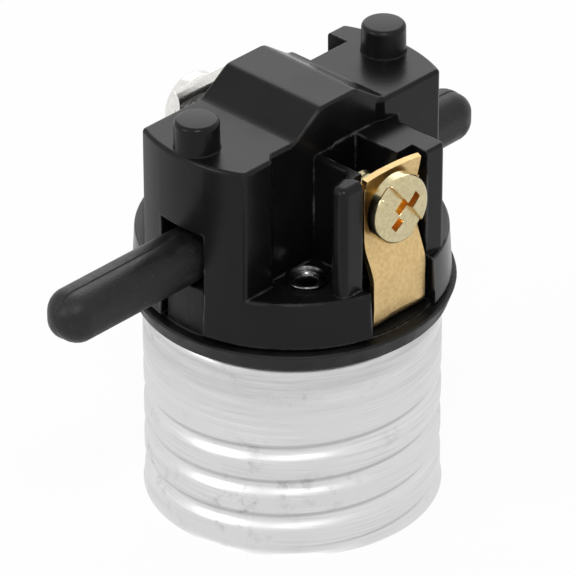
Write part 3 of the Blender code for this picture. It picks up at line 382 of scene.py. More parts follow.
def makeDrawnGroup():
    # lines left by turning or drawing about the screw axis
    values = {"Line Scale": 5200.0, "Length Scale": 55.0}
    group, given, out, place = startGroup("drawnLines", values, ("Lines", "Bands"))
    for label, share in (("Lines", 1.0), ("Bands", 0.16)):
        scale, stretched = group.nodes.new("ShaderNodeCombineXYZ"), group.nodes.new("ShaderNodeVectorMath")
        group.links.new(given["Length Scale"], scale.inputs[0])
        group.links.new(given["Length Scale"], scale.inputs[1])
        group.links.new(mathNode(group, "MULTIPLY", given["Line Scale"], share), scale.inputs[2])
        stretched.operation = "MULTIPLY"
        group.links.new(place, stretched.inputs[0])
        group.links.new(scale.outputs[0], stretched.inputs[1])
        group.links.new(noiseNode(group, stretched.outputs[0], 1.0, 4.0, 0.65), out[label])
    return group


def makeSmudgeGroup():
    # dark handling marks: fine ones, gathered in broad patches
    group, given, out, place = startGroup("smudges", {"Scale": 450.0, "Amount": 0.5}, ("Smudge",))
    broad = noiseNode(group, place, mathNode(group, "MULTIPLY", given["Scale"], 0.22), 2.0, 0.5)
    fine = noiseNode(group, place, given["Scale"], 5.0, 0.75)
    patches, specks = rangeNode(group, broad, 0.5, 0.72), rangeNode(group, fine, 0.5, 0.75)
    marks = mathNode(group, "MULTIPLY", patches, specks)
    group.links.new(mathNode(group, "MULTIPLY", marks, given["Amount"], clamp=True), out["Smudge"])
    return group


print("shared shader effects")
mouldedSkin = makeGrainGroup()
# painted highlights along the edges of the mouldings
paintedEdgeHighlights = makeEdgeHighlightGroup()
drawnLines = makeDrawnGroup()
smudges = makeSmudgeGroup()


# Materials

def startLook(name, colour, roughness, metallic=0.0, specular=0.5):
    look = bpy.data.materials.new(name)
    look.use_nodes = True
    look.diffuse_color = (*colour, 1.0)
    shader = look.node_tree.nodes["Principled BSDF"]
    shader.inputs["Base Color"].default_value = (*colour, 1.0)
    shader.inputs["Roughness"].default_value = roughness
    shader.inputs["Metallic"].default_value = metallic
    shader.inputs["Specular IOR Level"].default_value = specular
    return look, look.node_tree, shader


def placeGroup(tree, group, values):
    node = tree.nodes.new("ShaderNodeGroup")
    node.node_tree = group
    for label, value in values.items():
        node.inputs[label].default_value = value
    return node.outputs


def blendColour(tree, mask, first, second):
    node = tree.nodes.new("ShaderNodeMix")
    node.data_type = "RGBA"
    feed(tree, node.inputs["Factor"], mask)
    feed(tree, node.inputs[6], first)
    feed(tree, node.inputs[7], second)
    return node.outputs[2]


def bumpFrom(tree, shader, height, depth):
    bump = tree.nodes.new("ShaderNodeBump")
    bump.inputs["Distance"].default_value = depth
    bump.inputs["Strength"].default_value = 1.0
    tree.links.new(height, bump.inputs["Height"])
    tree.links.new(bump.outputs["Normal"], shader.inputs["Normal"])


def mouldedLook(name, colour, paler, rough, specular, skin, edgeHighlightSettings, speckAndHighlightTone, edgeHighlightShare, speckShare, bump):
    look, tree, shader = startLook(name, colour, rough[0], 0.0, specular)
    grain = placeGroup(tree, mouldedSkin, skin)
    edges = placeGroup(tree, paintedEdgeHighlights, edgeHighlightSettings)
    mottled = blendColour(tree, rangeNode(tree, grain["Mottle"], 0.35, 0.7), colour, paler)
    specked = blendColour(tree, mathNode(tree, "MULTIPLY", grain["Specks"], speckShare), mottled, speckAndHighlightTone)
    # the pale tone of the specks is also laid on every rounded edge as a painted highlight
    highlit = mathNode(tree, "MULTIPLY", edges["Highlight"], edgeHighlightShare)
    tree.links.new(blendColour(tree, highlit, specked, speckAndHighlightTone), shader.inputs["Base Color"])
    tree.links.new(rangeNode(tree, grain["Mottle"], 0.3, 0.75, *rough), shader.inputs["Roughness"])
    bumpFrom(tree, shader, grain["Grain"], bump)
    return look


def phenolicLook():
    return mouldedLook(
        "glossPhenolic", (0.0045, 0.0045, 0.005), (0.007, 0.007, 0.0075), rough=(0.22, 0.32), specular=0.18,
        skin={"Grain Scale": 1400.0, "Mottle Scale": 140.0, "Speck Scale": 1300.0, "Speck Amount": 0.15},
        edgeHighlightSettings={"Sharpness": 0.02, "Break Scale": 420.0}, speckAndHighlightTone=(0.16, 0.16, 0.16), edgeHighlightShare=0.8,
        speckShare=0.25, bump=0.000008)


def discLook():
    return mouldedLook(
        "mattPhenolic", (0.004, 0.004, 0.004), (0.009, 0.009, 0.009), rough=(0.4, 0.6), specular=0.25,
        skin={"Grain Scale": 1700.0, "Mottle Scale": 420.0, "Speck Scale": 900.0, "Speck Amount": 0.4},
        edgeHighlightSettings={"Sharpness": 0.05, "Break Scale": 900.0}, speckAndHighlightTone=(0.07, 0.07, 0.07), edgeHighlightShare=0.6,
        speckShare=0.5, bump=0.00006)


def nylonLook():
    return mouldedLook(
        "speckledNylon", (0.008, 0.008, 0.0085), (0.013, 0.013, 0.0135), rough=(0.36, 0.5), specular=0.3,
        skin={"Grain Scale": 3600.0, "Mottle Scale": 900.0, "Speck Scale": 3200.0, "Speck Amount": 0.75},
        edgeHighlightSettings={"Sharpness": 0.05, "Break Scale": 700.0}, speckAndHighlightTone=(0.07, 0.07, 0.072), edgeHighlightShare=0.35,
        speckShare=0.6, bump=0.00004)


# heights are in metres from the top of the ridge; just below the flange the colour darkens as painted shade
aluminiumTones = {
    "plain": (0.68, 0.68, 0.68), "lineDark": (0.63, 0.63, 0.633), "lineLight": (0.76, 0.76, 0.76),
    "mottled": (0.7, 0.7, 0.7), "smudged": (0.22, 0.22, 0.22), "underFlangeShade": (0.42, 0.42, 0.42),
    "shadeStartHeight": -0.0285, "shadeFullHeight": -0.0225, "rough": (0.3, 0.42), "bump": 0.000009,
    "skin": {"Grain Scale": 1500.0, "Mottle Scale": 240.0, "Speck Scale": 700.0},
}


def aluminiumLook():
    a = aluminiumTones
    look, tree, shader = startLook("drawnAluminium", a["plain"], 0.34, 1.0)
    drawn = placeGroup(tree, drawnLines, {})
    marks = placeGroup(tree, smudges, {"Scale": 420.0, "Amount": 0.7})
    skin = placeGroup(tree, mouldedSkin, a["skin"])
    lined = blendColour(tree, rangeNode(tree, drawn["Lines"], 0.3, 0.7), a["lineDark"], a["lineLight"])
    mottled = blendColour(tree, rangeNode(tree, skin["Mottle"], 0.4, 0.65), lined, a["mottled"])
    smudged = blendColour(tree, marks["Smudge"], mottled, a["smudged"])
    # painted shade of the flange darkens the wall just below it, mixed with handling marks and broken up by
    # the drawn bands
    apart = tree.nodes.new("ShaderNodeSeparateXYZ")
    tree.links.new(tree.nodes.new("ShaderNodeTexCoord").outputs["Object"], apart.inputs[0])
    high = rangeNode(tree, apart.outputs["Z"], a["shadeStartHeight"], a["shadeFullHeight"])
    patches = placeGroup(tree, smudges, {"Scale": 1100.0, "Amount": 1.0})
    soft = mathNode(tree, "MULTIPLY", rangeNode(tree, drawn["Bands"], 0.35, 0.65), 0.5)
    either = mathNode(tree, "ADD", patches["Smudge"], soft, clamp=True)
    underFlangeShade = blendColour(tree, mathNode(tree, "MULTIPLY", high, either), smudged, a["underFlangeShade"])
    tree.links.new(underFlangeShade, shader.inputs["Base Color"])
    tree.links.new(rangeNode(tree, drawn["Bands"], 0.3, 0.7, *a["rough"]), shader.inputs["Roughness"])
    bumpFrom(tree, shader, drawn["Lines"], a["bump"])
    return look


metalSkin = {"Grain Scale": 2600.0, "Mottle Scale": 380.0, "Speck Scale": 1800.0}
# the colour and its darker grain, the span of roughness, the bump, then the share of tarnish and its colour
metalTones = {
    "satinBrass": ((0.72, 0.52, 0.25), (0.62, 0.44, 0.2), (0.3, 0.42), 1e-5, 0.3, (0.4, 0.25, 0.08)),
    "brightBrass": ((0.62, 0.54, 0.33), (0.53, 0.46, 0.27), (0.16, 0.26), 5e-6, 0.2, (0.55, 0.35, 0.1)),
    # a deeper, browner copy of the brass for the walls of the drive recess: painted shade
    "recessShadeBrass": ((0.85, 0.58, 0.2), (0.72, 0.44, 0.12), (0.2, 0.35), 1e-5, 0.3, (0.4, 0.2, 0.04)),
    "brightNickel": ((0.82, 0.81, 0.78), (0.74, 0.73, 0.7), (0.14, 0.24), 6e-6, 0.2, (0.35, 0.33, 0.3)),
    # a dark copy of the nickel for the nickel screw's thread, end and recess: oil, with painted shade
    "oiledShadedNickel": ((0.15, 0.148, 0.14), (0.1, 0.098, 0.094), (0.3, 0.45), 1e-5, 0.4, (0.08, 0.08, 0.075)),
    "springSteel": ((0.55, 0.56, 0.58), (0.45, 0.46, 0.48), (0.25, 0.35), 6e-6, 0.3, (0.2, 0.2, 0.2)),
    "contactCopper": ((0.75, 0.43, 0.28), (0.6, 0.33, 0.2), (0.25, 0.4), 8e-6, 0.4, (0.25, 0.12, 0.06)),
    "blackenedSteel": ((0.24, 0.24, 0.245), (0.12, 0.12, 0.12), (0.16, 0.3), 1e-5, 0.5, (0.03, 0.03, 0.03)),
}


def metalLook(name):
    # rolled strip: a satin grain with cloudy tarnish
    colour, darker, rough, bump, tarnish, tarnished = metalTones[name]
    look, tree, shader = startLook(name, colour, rough[0], 1.0)
    skin = placeGroup(tree, mouldedSkin, metalSkin)
    marks = placeGroup(tree, smudges, {"Scale": 900.0, "Amount": tarnish})
    mottled = blendColour(tree, rangeNode(tree, skin["Grain"], 0.35, 0.65), darker, colour)
    tree.links.new(blendColour(tree, marks["Smudge"], mottled, tarnished), shader.inputs["Base Color"])
    tree.links.new(rangeNode(tree, skin["Mottle"], 0.3, 0.7, *rough), shader.inputs["Roughness"])
    bumpFrom(tree, shader, skin["Grain"], bump)
    return look


print("materials")
housingLook = phenolicLook()
baseLook = discLook()
barLook = nylonLook()
shellLook = aluminiumLook()
brassLook = metalLook("satinBrass")
screwLook = metalLook("brightBrass")
recessShadeLook = metalLook("recessShadeBrass")
nickelLook = metalLook("brightNickel")
oiledShadedLook = metalLook("oiledShadedNickel")
steelLook = metalLook("springSteel")
copperLook = metalLook("contactCopper")
eyeletLook = metalLook("blackenedSteel")


# Screw shell

shellSizes = {
    "height": 19.75, "radius": 13.5, "wall": 0.4, "rimFlare": 0.16, "flareHeight": 0.8, "corner": 0.9,
    "lipRadius": 7.6, "pitch": 3.63, "depth": 0.58, "valleyShare": 0.62, "threadEnd": 12.2,
    "startTurn": 224, "segments": 180, "rowsPerPitch": 18, "cornerSteps": 8, "dent": 0.03,
}


def shellGroove(turn, height):
    # a rounded valley on a helix, which fades in at the rim and out at the plain top
    s = shellSizes
    phase = (height / s["pitch"] - (turn - radians(s["startTurn"])) / (2 * pi)) % 1.0
    away = abs(phase - round(phase)) * 2
    valley = 0.5 + 0.5 * cos(pi * min(away / s["valleyShare"], 1.0))
    fadeIn = min(max(height / (0.3 * s["pitch"]), 0.0), 1.0)
    fadeOut = min(max((s["threadEnd"] + 0.5 * s["pitch"] - height) / (0.5 * s["pitch"]), 0.0), 1.0)
    return s["depth"] * valley * fadeIn * fadeOut


def shellSkin(form, inset):
    s = shellSizes
    turns = [2 * pi * i / s["segments"] for i in range(s["segments"])]
    straight = s["height"] - s["corner"]
    rows = int(straight / (s["pitch"] / s["rowsPerPitch"]))
    rings = []
    for i in range(rows + 1):
        height = straight * i / rows
        flare = s["rimFlare"] * max(0.0, 1 - height / s["flareHeight"]) ** 2
        ring = []
        for t in turns:
            dent = s["dent"] * noise.noise(Vector((cos(t) * 1.6, sin(t) * 1.6, height * 0.12)))
            r = s["radius"] + flare + dent * min(height / 4, 1) - shellGroove(t, height) - inset
            ring.append(form.verts.new((r * cos(t), r * sin(t), height)))
        rings.append(ring)
    for i in range(1, s["cornerSteps"] + 1):
        bend = pi / 2 * i / s["cornerSteps"]
        r = s["radius"] - s["corner"] + (s["corner"] - inset) * cos(bend)
        z = straight + (s["corner"] - inset) * sin(bend)
        rings.append([form.verts.new((r * cos(t), r * sin(t), z)) for t in turns])
    lip = s["lipRadius"]
    rings.append([form.verts.new((lip * cos(t), lip * sin(t), s["height"] - inset)) for t in turns])
    for low, high in zip(rings[:-1], rings[1:]):
        ringStrip(form, low, high)
    return rings


def makeShell():
    form = bmesh.new()
    outer = shellSkin(form, 0.0)
    inner = shellSkin(form, shellSizes["wall"])
    ringStrip(form, outer[0], inner[0])
    ringStrip(form, outer[-1], inner[-1])
    bmesh.ops.recalc_face_normals(form, faces=form.faces)
    keptPiece("screwShell", plainMesh(form), shellLook, "socket_body", ["screw_shell"],
              sharp=50)


print("screw shell")
makeShell()


# Base disc

discSizes = {
    "bottom": 20.05, "footRadius": 14.28, "footBevel": (0.25, 0.2), "ringRadius": 14.8, "ringTop": 21.9,
    "ringSoft": 0.22, "landRadius": 13.5, "landBevel": 0.08, "top": 22.0, "tongueTop": 26.65,
    "tongueHalf": 2.3, "tongueReach": 13.75, "tongueRoot": 9.45, "sink": 0.8, "chipDepth": 0.03,
    "segments": 288, "soft": 0.16,
}


def tongueForm(sign):
    d = discSizes
    side = sqrt(d["tongueReach"] ** 2 - d["tongueHalf"] ** 2)
    turn = atan2(d["tongueHalf"], side)
    face = arcPoints(d["tongueReach"], -turn, turn, 8)
    outline = [(d["tongueRoot"], -d["tongueHalf"])] + face + [(d["tongueRoot"], d["tongueHalf"])]
    return upright([(sign * x, sign * y) for x, y in outline], d["top"] - d["sink"], d["tongueTop"])


def makeDisc():
    d = discSizes
    (footIn, footUp), soft = d["footBevel"], d["ringSoft"]
    foot, land = d["footRadius"], d["landRadius"]
    profile = [(0, d["bottom"]), (foot - footIn, d["bottom"]), (foot, d["bottom"] + footUp)]
    profile += arcPoints(soft, 0, pi / 2, 6, (d["ringRadius"] - soft, d["ringTop"] - soft))
    profile += [(land + d["landBevel"], d["ringTop"]), (land, d["top"]), (0, d["top"])]
    ring = spun(profile, d["segments"])
    for v in ring.verts:
        # the ring's edge is uneven
        r = hypot(v.co.x, v.co.y)
        if r > foot + 0.1:
            rough = noise.noise(Vector((v.co.x * 0.9, v.co.y * 0.9, v.co.z * 1.5)))
            fine = noise.noise(Vector((v.co.x * 3.1, v.co.y * 3.1, v.co.z * 3.0)))
            shrink = d["chipDepth"] * (0.6 + 0.5 * rough + 0.5 * fine) / r
            v.co.x -= v.co.x * shrink
            v.co.y -= v.co.y * shrink
    mesh = softened(built(ring, [tongueForm(-1), tongueForm(1)]), d["soft"], 2, 50)
    keptPiece("baseDisc", mesh, baseLook, "socket_body", ["base_disc"])


print("base disc")
makeDisc()


# Housing

housingSizes = {
    "bottom": 22.3, "footRadius": 14.35, "footBevel": (0.1, 0.12), "radius": 14.1, "drumTop": 26.9,
    "drumSoft": (0.22, 0.06), "blockTop": 39.65, "coreNear": 5.75, "farDepth": 5.82, "leftNear": 6.45,
    "rightNear": 6.1, "leftJog": 8.4, "stepStart": 5.95, "stepEnd": 10.7, "stepDepth": 3.43,
    "stepDrop": 5.0, "ridgeTop": 41.85, "ridgeTopHalf": 2.3, "ridgeFootHalf": 5.5, "ridgeFillet": 2.0,
    "ridgeEdge": 0.45, "ridgeSoft": 0.26, "pegPlace": 11.84, "pegRadius": 2.02, "pegHeight": 2.78,
    "pegDraft": 0.04, "pegSoft": 0.42, "pegFoot": ((0.06, -0.8), (0.06, 0.03), (0.02, 0.08), (-0.01, 0.2)),
    "rightTop": 37.5, "leftTop": 37.3, "rearTop": 33.5, "rearPostDrop": 0.3, "wallReach": 12.6,
    "wallSide": 6.35, "wallRoot": 5.3, "flareTo": 8.0, "flareFrom": 7.2, "webSide": 3.2, "webRoot": 4.8,
    "webIntoPost": 1.2, "postSide": 6.5, "postInner": 11.0, "postInset": 0.15, "postBack": (1.0, 0.8),
    "postNeck": 1.4, "postFace": 12.5, "postInSlot": 0.4, "postCrown": 0.68, "postRise": 0.45,
    "slotLeft": -4.0, "slotRight": 4.0, "shoulder": 10.8, "rearSetback": 0.65, "backLeft": -2.45,
    "backRight": 2.05, "backSink": 0.3, "backGap": 0.05, "barHalf": 2.6, "barTop": 32.5,
    "bayHalfLength": 8.65, "bayHalfWidth": 4.1, "bayTop": 31.35,
    "leafRoom": ((-6.6, -2.2, 29.3), (6.6, 2.2, 36.55)), "nearRoof": 23.2, "farRoof": 24.1,
    "footEnd": 7.6, "loadSides": (1.45, 5.25), "loadNear": -9.95, "loadFar": 6.45,
    "eyeletPlace": (-6.35, -7.9), "eyeletHole": 1.7, "blockSoft": 0.38, "wallSoft": 0.3,
    "corner": 0.5, "crisp": 0.07, "sink": 0.8, "overcut": 2, "segments": 180,
}


def blocksOutline():
    h = housingSizes

    def rimArc(first, last):
        # shares the drum's facets; its end pieces leave room for the rounded corners
        step = 2 * pi / h["segments"]
        marks = [k * step for k in range(-h["segments"], h["segments"] + 1)]
        turns = [first] + [t for t in marks if first + 0.05 < t < last - 0.05] + [last]
        return [(h["radius"] * cos(t), h["radius"] * sin(t)) for t in turns]

    depths = (h["farDepth"], h["leftNear"], h["rightNear"])
    far, leftNear, rightNear = (atan2(y, sqrt(h["radius"] ** 2 - y * y)) for y in depths)
    left = rimArc(pi - far, pi + leftNear)
    right = rimArc(-rightNear, far)
    near = [(-h["leftJog"] - 0.8, -h["leftNear"]), (-h["leftJog"], -h["coreNear"]),
            (h["ridgeFootHalf"] - 0.8, -h["coreNear"]), (h["ridgeFootHalf"], -h["rightNear"])]
    return roundedOutline(left + near + right, h["corner"])


def ridgeProfile():
    h = housingSizes
    slope = atan2(h["ridgeTop"] - h["blockTop"], h["ridgeFootHalf"] - h["ridgeTopHalf"])
    foot = h["ridgeFootHalf"] + h["ridgeFillet"] * tan(slope / 2)
    middle = (foot, h["blockTop"] + h["ridgeFillet"] - 0.02)
    curve = arcPoints(h["ridgeFillet"], -pi / 2, -pi / 2 - slope, 8, middle)
    soft = h["ridgeEdge"]
    shoulder = [(h["ridgeTopHalf"] + soft * (1 - t) ** 2 * cos(slope) - soft * t * t,
                 h["ridgeTop"] - soft * (1 - t) ** 2 * sin(slope)) for t in (0, 0.25, 0.5, 0.75, 1)]
    right = [(foot, h["drumTop"] - 0.4)] + curve + shoulder
    return right + [(-x, z) for x, z in reversed(right)]


def ridgeForm():
    h = housingSizes
    form = upright(ridgeProfile(), -h["farDepth"], h["coreNear"])
    ends = [e for e in form.edges if abs(e.verts[0].co.z - e.verts[1].co.z) < 1e-4
            and all(v.co.y > h["blockTop"] - 0.03 for v in e.verts)]
    bmesh.ops.bevel(form, geom=ends, offset=h["ridgeSoft"], segments=4, profile=0.5, affect="EDGES")
    return moved(form, turn=laidOver)


def rightWallForm(top):
    h = housingSizes
    side, root, reach = h["wallSide"], -h["wallRoot"], -h["wallReach"]
    outline = [(-h["sink"], root), (-h["sink"], reach), (side, reach), (side, -h["flareFrom"]),
               (h["flareTo"], root)]
    return softTopped(roundedOutline(outline, h["corner"]), h["drumTop"] - h["sink"], top, h["wallSoft"])


def webForm(top):
    h = housingSizes
    side = -h["webSide"] - h["webIntoPost"]
    outline = [(h["sink"], -h["webRoot"]), (-h["webSide"], -h["webRoot"]),
               (-h["webSide"], h["postNeck"] - h["postInner"]), (side, -h["postInner"] + 0.4),
               (side, -h["postFace"] + 0.3), (h["sink"], -h["postFace"] + 0.3)]
    return softTopped(roundedOutline(outline, h["corner"]), h["drumTop"] - h["sink"], top, h["wallSoft"])


def postForm(top):
    # its crown is rounded, as trimmed by hand
    h = housingSizes
    side, inner = h["slotLeft"] + h["postInSlot"], h["postInset"] - h["postInner"]
    out, back = h["postBack"]
    outline = [(side, inner), (side - out, back - h["postInner"]), (-h["postSide"], inner),
               (-h["postSide"], -h["postFace"]), (side, -h["postFace"])]
    rounded = roundedOutline(outline, h["postCrown"] + 0.05)
    return softTopped(rounded, h["drumTop"] - h["sink"], top, h["postCrown"], 8)


def pegForm(sign):
    # a thin raised line runs round its foot
    h = housingSizes
    foot, top = h["blockTop"], h["blockTop"] + h["pegHeight"]
    wide, soft = h["pegRadius"] + h["pegDraft"], h["pegSoft"]
    profile = [(0, foot + h["pegFoot"][0][1])] + [(wide + out, foot + up) for out, up in h["pegFoot"]]
    profile.append((h["pegRadius"], top - soft))
    profile += arcPoints(soft, 0, pi / 2, 8, (h["pegRadius"] - soft, top - soft))[1:] + [(0, top + 0.02)]
    return moved(spun(profile, 96), (sign * h["pegPlace"], 0, 0))


def strapSlotForm():
    h = housingSizes
    return cuboid((h["slotLeft"], -h["footRadius"] - h["overcut"], h["bottom"] - h["overcut"]),
                  (h["slotRight"], -h["shoulder"], h["rightTop"] + h["overcut"]))


def backSpaceForm(top):
    h = housingSizes
    return cuboid((h["backLeft"], -h["shoulder"] - h["overcut"], h["drumTop"] - h["backSink"]),
                  (h["backRight"], -h["coreNear"] - h["backGap"], top + h["overcut"]))


def footReliefForm(roof):
    h = housingSizes
    low = (h["slotLeft"], -h["shoulder"] - 1, h["bottom"] - 3)
    return cuboid(low, (h["slotRight"], -h["footEnd"], roof))


def atRear(form):
    return moved(form, (0, -housingSizes["rearSetback"], 0), halfTurn)


def pinForm(radius, low, high, place, segments=48):
    form = spun([(0, low), (radius, low), (radius, high), (0, high)], segments)
    return moved(form, (place[0], place[1], 0))


def housingHollows():
    # their undersides lie at different depths, so that no two faces coincide
    h = housingSizes
    low, over = h["bottom"] - h["overcut"], h["overcut"]
    reach = h["footRadius"] + over
    left, right = h["loadSides"]
    x, y = h["eyeletPlace"]
    step = cuboid((h["stepStart"], h["stepDepth"], h["blockTop"] - h["stepDrop"]),
                  (h["stepEnd"], h["farDepth"] + over, h["blockTop"] + over))
    channel = cuboid((-reach, -h["barHalf"], low), (reach, h["barHalf"], h["barTop"]))
    bay = cuboid((-h["bayHalfLength"], -h["bayHalfWidth"], low - 0.5),
                 (h["bayHalfLength"], h["bayHalfWidth"], h["bayTop"]))
    nearLoad = cuboid((left, h["loadNear"], low - 0.1), (right, 0, h["nearRoof"]))
    farLoad = cuboid((left, 0, low - 0.2), (right, h["loadFar"], h["farRoof"]))
    holes = [pinForm(h["eyeletHole"], low - 1, h["drumTop"] + over, place) for place in ((x, y), (-x, -y))]
    return [step, strapSlotForm(), atRear(strapSlotForm()), backSpaceForm(h["rightTop"]),
            halfTurned(backSpaceForm(h["rearTop"])), channel, bay, cuboid(*h["leafRoom"]), nearLoad,
            footReliefForm(h["nearRoof"]), farLoad, atRear(footReliefForm(h["farRoof"]))] + holes


def makeHousing():
    h = housingSizes
    (footIn, footUp), (edge, half) = h["footBevel"], h["drumSoft"]
    bottom, foot, radius, top = h["bottom"], h["footRadius"], h["radius"], h["drumTop"]
    drum = spun([(0, bottom), (foot - footIn, bottom), (foot, bottom + footUp), (radius, top - edge),
                 (radius - half, top - half), (radius - edge, top), (0, top)], h["segments"])
    blocks = softTopped(blocksOutline(), top - h["sink"], h["blockTop"], h["blockSoft"])
    rearPostTop = h["rearTop"] - h["rearPostDrop"]
    joined = [blocks, ridgeForm(),
              rightWallForm(h["rightTop"]), webForm(h["leftTop"]), postForm(h["leftTop"] + h["postRise"]),
              halfTurned(rightWallForm(h["rearTop"])), halfTurned(webForm(rearPostTop)),
              halfTurned(postForm(rearPostTop))]
    mesh = softened(built(drum, joined, housingHollows()), h["crisp"], 2, 34)
    housing = keptPiece("switchHousing", mesh, housingLook, "socket_body",
                        ["switch_housing"])
    for sign, name in ((-1, "leftPeg"), (1, "rightPeg")):
        form = plainMesh(pegForm(sign))
        peg = keptPiece(name, form, housingLook, "socket_body", sharp=40)
        peg.parent = housing
        peg.matrix_parent_inverse = housing.matrix_world.inverted()


print("housing")
makeHousing()


# Push bar

barSizes = {
    "length": 52.0, "width": 4.7, "depth": 4.7, "corner": 1.8, "axis": 29.3, "rest": -3.35,
    "carrier": ((-5.0, -3.8, 24.45), (5.0, 3.8, 31.05)), "pocket": ((-1.6, -3.2, 22.0), (1.6, 3.2, 29.2)),
    "notchPlace": 3.35, "notchHalf": 1.7, "notchDepth": 0.9, "notchReach": 7, "overcut": 0.8,
    "seamPlace": 0.12, "seamDepth": 0.09, "seamWidth": 0.07, "nearDrop": 0.05,
    "domeSteps": (0.97, 0.9, 0.82, 0.73, 0.63, 0.52, 0.4, 0.28, 0.16, 0.06, 0.0),
}


def barRing(scale):
    # the half towards -Y is set in a little, with a groove along the parting line
    b = barSizes
    corner, halfY, halfZ = b["corner"] * scale, b["width"] / 2 * scale, b["depth"] / 2 * scale
    seam, width = b["seamPlace"] * scale, b["seamWidth"] * min(scale * 2, 1)
    drop, depth = b["nearDrop"] * min(scale * 3, 1), b["seamDepth"] * min(scale * 2, 1)
    points = []
    for quarter, (sy, sz) in enumerate(((1, 1), (-1, 1), (-1, -1), (1, -1))):
        inset = drop if sy < 0 else 0
        centre = (sy * (halfY - corner - inset), sz * (halfZ - corner - inset))
        points += arcPoints(corner, quarter * pi / 2, (quarter + 1) * pi / 2, 10, centre)
        if quarter == 0:
            points += [(seam + width, halfZ), (seam, halfZ - depth), (seam - width, halfZ - drop)]
        if quarter == 2:
            points += [(seam - width, drop - halfZ), (seam, depth - halfZ), (seam + width, -halfZ)]
    return points


def makeBar():
    b = barSizes
    form = bmesh.new()
    dome = b["depth"] / 2
    straight = b["length"] / 2 - dome
    turns = [pi / 2 * share for share in b["domeSteps"]]
    stations = [(-straight - dome * sin(t), cos(t)) for t in turns]
    stations += [(straight + dome * sin(t), cos(t)) for t in reversed(turns)]
    rings = [[form.verts.new((x, y, z)) for y, z in barRing(scale)] for x, scale in stations]
    moved(closedForm(form, rings), (b["rest"], 0, b["axis"]))
    carved = [moved(cuboid(*b["pocket"]), (b["rest"], 0, 0))]
    top, over = b["axis"] + b["depth"] / 2, b["overcut"]
    half = b["notchHalf"] * (1 + over / b["notchDepth"])
    for place in (b["rest"] - b["notchPlace"], b["rest"] + b["notchPlace"]):
        notch = [(place - half, top + over), (place, top - b["notchDepth"]), (place + half, top + over)]
        carved.append(lengthwise(notch, -b["notchReach"], b["notchReach"]))
    mesh = plainMesh(built(form, [moved(cuboid(*b["carrier"]), (b["rest"], 0, 0))], carved))
    keptPiece("pushBar", mesh, barLook, "push_bar", ["push_bar"], sharp=32)


print("push bar")
makeBar()


# Eyelets

eyeletSizes = {"shank": 1.4, "bore": 1.0, "head": 1.95, "edge": 0.13, "curl": 0.18, "low": 19.05,
               "high": 27.08}


def eyeletForm(place):
    # a dished head above and a curled end below
    e = eyeletSizes
    top, foot = e["high"], e["low"]
    rim = arcPoints(e["edge"], -pi / 2, pi * 0.75, 8, (e["head"] - e["edge"], top + e["edge"]))
    dish = [(e["head"] - 0.32, top + 0.1), (e["bore"] + 0.42, top + 0.03), (e["bore"] + 0.16, top - 0.1),
            (e["bore"] + 0.02, top - 0.38), (e["bore"], top - 0.8)]
    curl = arcPoints(e["curl"], -pi * 0.9, 0, 8, (e["head"] - 0.2, foot - e["curl"]))
    shank = [(e["head"] - 0.02, foot), (e["shank"], foot), (e["shank"], top)]
    form = spun([(e["bore"], foot - e["curl"])] + curl + shank + rim + dish, 72)
    return moved(form, (place[0], place[1], 0))


def makeEyelets():
    x, y = housingSizes["eyeletPlace"]
    for side, place in (("front", (x, y)), ("rear", (-x, -y))):
        mesh = plainMesh(eyeletForm(place))
        keptPiece(side + "Eyelet", mesh, eyeletLook, "socket_body",
                  ["housing_rivet_" + side], sharp=50)


print("eyelets")
makeEyelets()


# Terminal straps

strapSizes = {
    "bottom": 22.3, "sheet": 0.6, "width": 6.6, "shift": 0.25, "upperReach": 11.7, "lowerReach": 12.95,
    "bend": 0.9, "easing": (0.25, 0.6, 1.2, 2.2), "footEnd": 7.9, "lowerHeight": 5.1, "slantHeight": 3.3,
    "knee": 0.6, "lipRadius": 5.5, "lipDrop": 2.75, "lipStep": 0.1, "lipSpread": 0.2, "lipShortest": 0.3,
    "lipShift": -0.6, "top": 14.85, "crown": 0.05, "rearFold": 14.05, "rearRise": 0.45, "rearSpread": 0.9,
    "rearBend": 0.55,
    "screwHeight": 11.5, "screwShift": -0.2, "holeRadius": 2.2, "rivetHole": 1.4, "rivetPlace": (0, -9.9),
    "legSides": (1.75, 4.95), "legReach": (-8.7, -1.9), "legInset": 0.02, "rearSetback": 0.65,
    "edgeWave": 0.07, "bendWave": 0.1, "crisp": 0.04, "columns": 40,
}


def smoothedLine(points, steps):
    # an even curve through the points, the ends kept
    out = []
    for i in range(len(points) - 1):
        a, b = points[max(i - 1, 0)], points[i]
        c, d = points[i + 1], points[min(i + 2, len(points) - 1)]
        for k in range(steps):
            t = k / steps
            out.append(tuple(0.5 * ((2 * q) + (r - p) * t + (2 * p - 5 * q + 4 * r - s) * t * t
                                    + (3 * q - p - 3 * r + s) * t ** 3) for p, q, r, s in zip(a, b, c, d)))
    return out + [points[-1]]


def lipRows(x, live):
    # the brass strap folds along an arc over the screw's head, the nickel one straight across
    s = strapSizes
    offset = min(abs(x - s["screwShift"] - s["lipShift"]), s["lipRadius"] * 0.9)
    fold = s["screwHeight"] - s["lipDrop"] + sqrt(s["lipRadius"] ** 2 - offset ** 2)
    top = s["top"] + s["crown"] * (1 - (2 * (x - s["shift"]) / s["width"]) ** 2)
    rise, spread, bend = max(top - fold, s["lipShortest"]), s["lipSpread"], 2 * s["lipStep"]
    if not live:
        fold, rise, spread, bend = s["rearFold"], s["rearRise"], s["rearSpread"], s["rearBend"]
    flat, out = s["upperReach"], s["upperReach"] + s["lipStep"]
    return [(flat, (s["lowerHeight"] + s["slantHeight"] + fold) / 2), (flat, fold - bend),
            (out, fold + s["lipStep"]), (out + rise * spread, fold + rise)]


